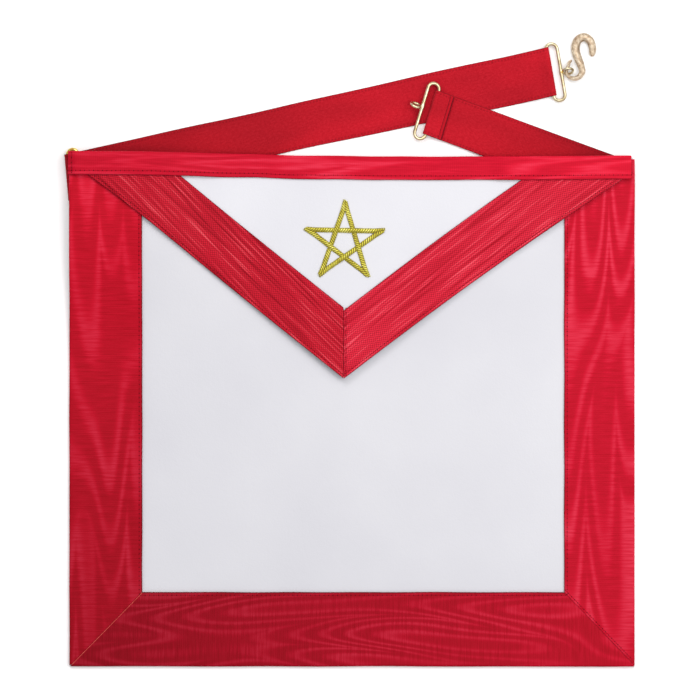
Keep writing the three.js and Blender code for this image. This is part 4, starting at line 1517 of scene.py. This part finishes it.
def hook_frame():
    """The hook's place: its curl round the eye, its body turned upright and drooping to the table."""
    curl_height = WIRE_HEIGHT + (LOOP_SPREAD + EYE_REACH) * math.sin(hook_tilt)
    droop = math.asin((curl_height - HOOK_THICKNESS / 2 - GAP / 2) / (0.8 * HOOK_SIZE))
    from_leg = Vector((LOOP_SPREAD + CURL_OFFSET, -HOOK_LOOP_SLIP - CURL_DROP))
    curl = Matrix.Rotation(-LONG_SKEW[1], 2) @ from_leg
    place = Matrix.Translation((LONG_LENGTH - WIRE_INSET + curl.x, curl.y, curl_height))
    upright = Matrix.Rotation(-LONG_ANGLE, 4, "Z") @ Matrix.Rotation(-droop, 4, "X")
    return long_frame() @ place @ upright


def hook_object():
    mesh = bpy.data.meshes.new("gilt_snake_hook")
    bm = bmesh.new()
    uv_layer = bm.loops.layers.uv.new("cloth")
    sides = 28
    sections = hook_sections()
    rings = []
    for centre, way, half_width, half_thickness, _ in sections:
        ring = []
        for m in range(sides):
            angle = 2 * math.pi * m / sides
            out = half_width * math.cos(angle)
            up = half_thickness * math.sin(angle)
            ring.append(bm.verts.new(centre + Vector((-way.y * out, way.x * out, up))))
        rings.append(ring)
    for i, (a, b) in enumerate(zip(rings, rings[1:])):
        for m in range(sides):
            n = (m + 1) % sides
            face = bm.faces.new((a[m], a[n], b[n], b[m]))
            corners = ((i, m), (i, m + 1), (i + 1, m + 1), (i + 1, m))
            for loop, (row, turn) in zip(face.loops, corners):
                loop[uv_layer].uv = (sections[row][4], turn / sides)
    bm.faces.new(list(reversed(rings[0])))
    bm.faces.new(rings[-1])
    bmesh.ops.recalc_face_normals(bm, faces=bm.faces)
    bm.transform(hook_frame())
    bm.to_mesh(mesh)
    bm.free()
    mesh.materials.append(engraved_gilt())
    mesh.shade_smooth()
    obj = bpy.data.objects.new("gilt_snake_hook", mesh)
    bpy.context.collection.objects.link(obj)
    return obj


hook = hook_object()
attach(hook, "hook")
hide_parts("snake_hook")


# The photographer's table and light: a white sheet of card under a large soft light, seen from
# straight above with a long lens.
VIEW_WIDTH = 504 * MM
CAMERA_HEIGHT = 6.0
VIEW_CENTRE = Vector((0.4 * MM, -0.6 * MM))

table_mesh = bpy.data.meshes.new("table")
bm = bmesh.new()
bmesh.ops.create_grid(bm, x_segments=1, y_segments=1, size=3)
bm.to_mesh(table_mesh)
bm.free()
card = Shader("white card", Roughness=0.9, Specular_IOR_Level=0.1)
card.surface.inputs["Base Color"].default_value = (0.97, 0.97, 0.97, 1)
table_mesh.materials.append(card.material)
table = bpy.data.objects.new("table", table_mesh)
table.location.z = -0.05 * MM
bpy.context.collection.objects.link(table)

world = bpy.data.worlds.new("studio")
bpy.context.scene.world = world
world.use_nodes = True
sky = world.node_tree
towards = sky.nodes.new("ShaderNodeTexCoord")
parts = sky.nodes.new("ShaderNodeSeparateXYZ")
dome = sky.nodes.new("ShaderNodeValToRGB")
sky.links.new(towards.outputs["Generated"], parts.inputs[0])
sky.links.new(parts.outputs["Z"], dome.inputs["Fac"])
sky.links.new(dome.outputs["Color"], sky.nodes["Background"].inputs["Color"])
for element, (height, level) in zip(dome.color_ramp.elements, ((0.05, 0.3), (0.8, 0.72))):
    element.position = height
    element.color = (level, level, level, 1)
sky.nodes["Background"].inputs["Strength"].default_value = 1


def soft_light(name, place, size, power):
    data = bpy.data.lights.new(name, "AREA")
    data.shape = "SQUARE"
    data.size = size
    data.energy = power
    light = bpy.data.objects.new(name, data)
    light.location = place
    light.rotation_euler = (-Vector(place)).to_track_quat("-Z", "Y").to_euler()
    bpy.context.collection.objects.link(light)


soft_light("window", (-0.4, 1.2, 1.5), 0.8, 12)
soft_light("fill", (0.65, 0.2, 1.2), 1.3, 13)

camera_data = bpy.data.cameras.new("camera")
camera_data.sensor_width = 36
camera_data.lens = 36 * CAMERA_HEIGHT / VIEW_WIDTH
camera_data.clip_end = 20
camera = bpy.data.objects.new("camera", camera_data)
camera.location = (VIEW_CENTRE.x, VIEW_CENTRE.y, CAMERA_HEIGHT)
bpy.context.collection.objects.link(camera)
bpy.context.scene.camera = camera
bpy.context.scene.view_settings.view_transform = "Standard"
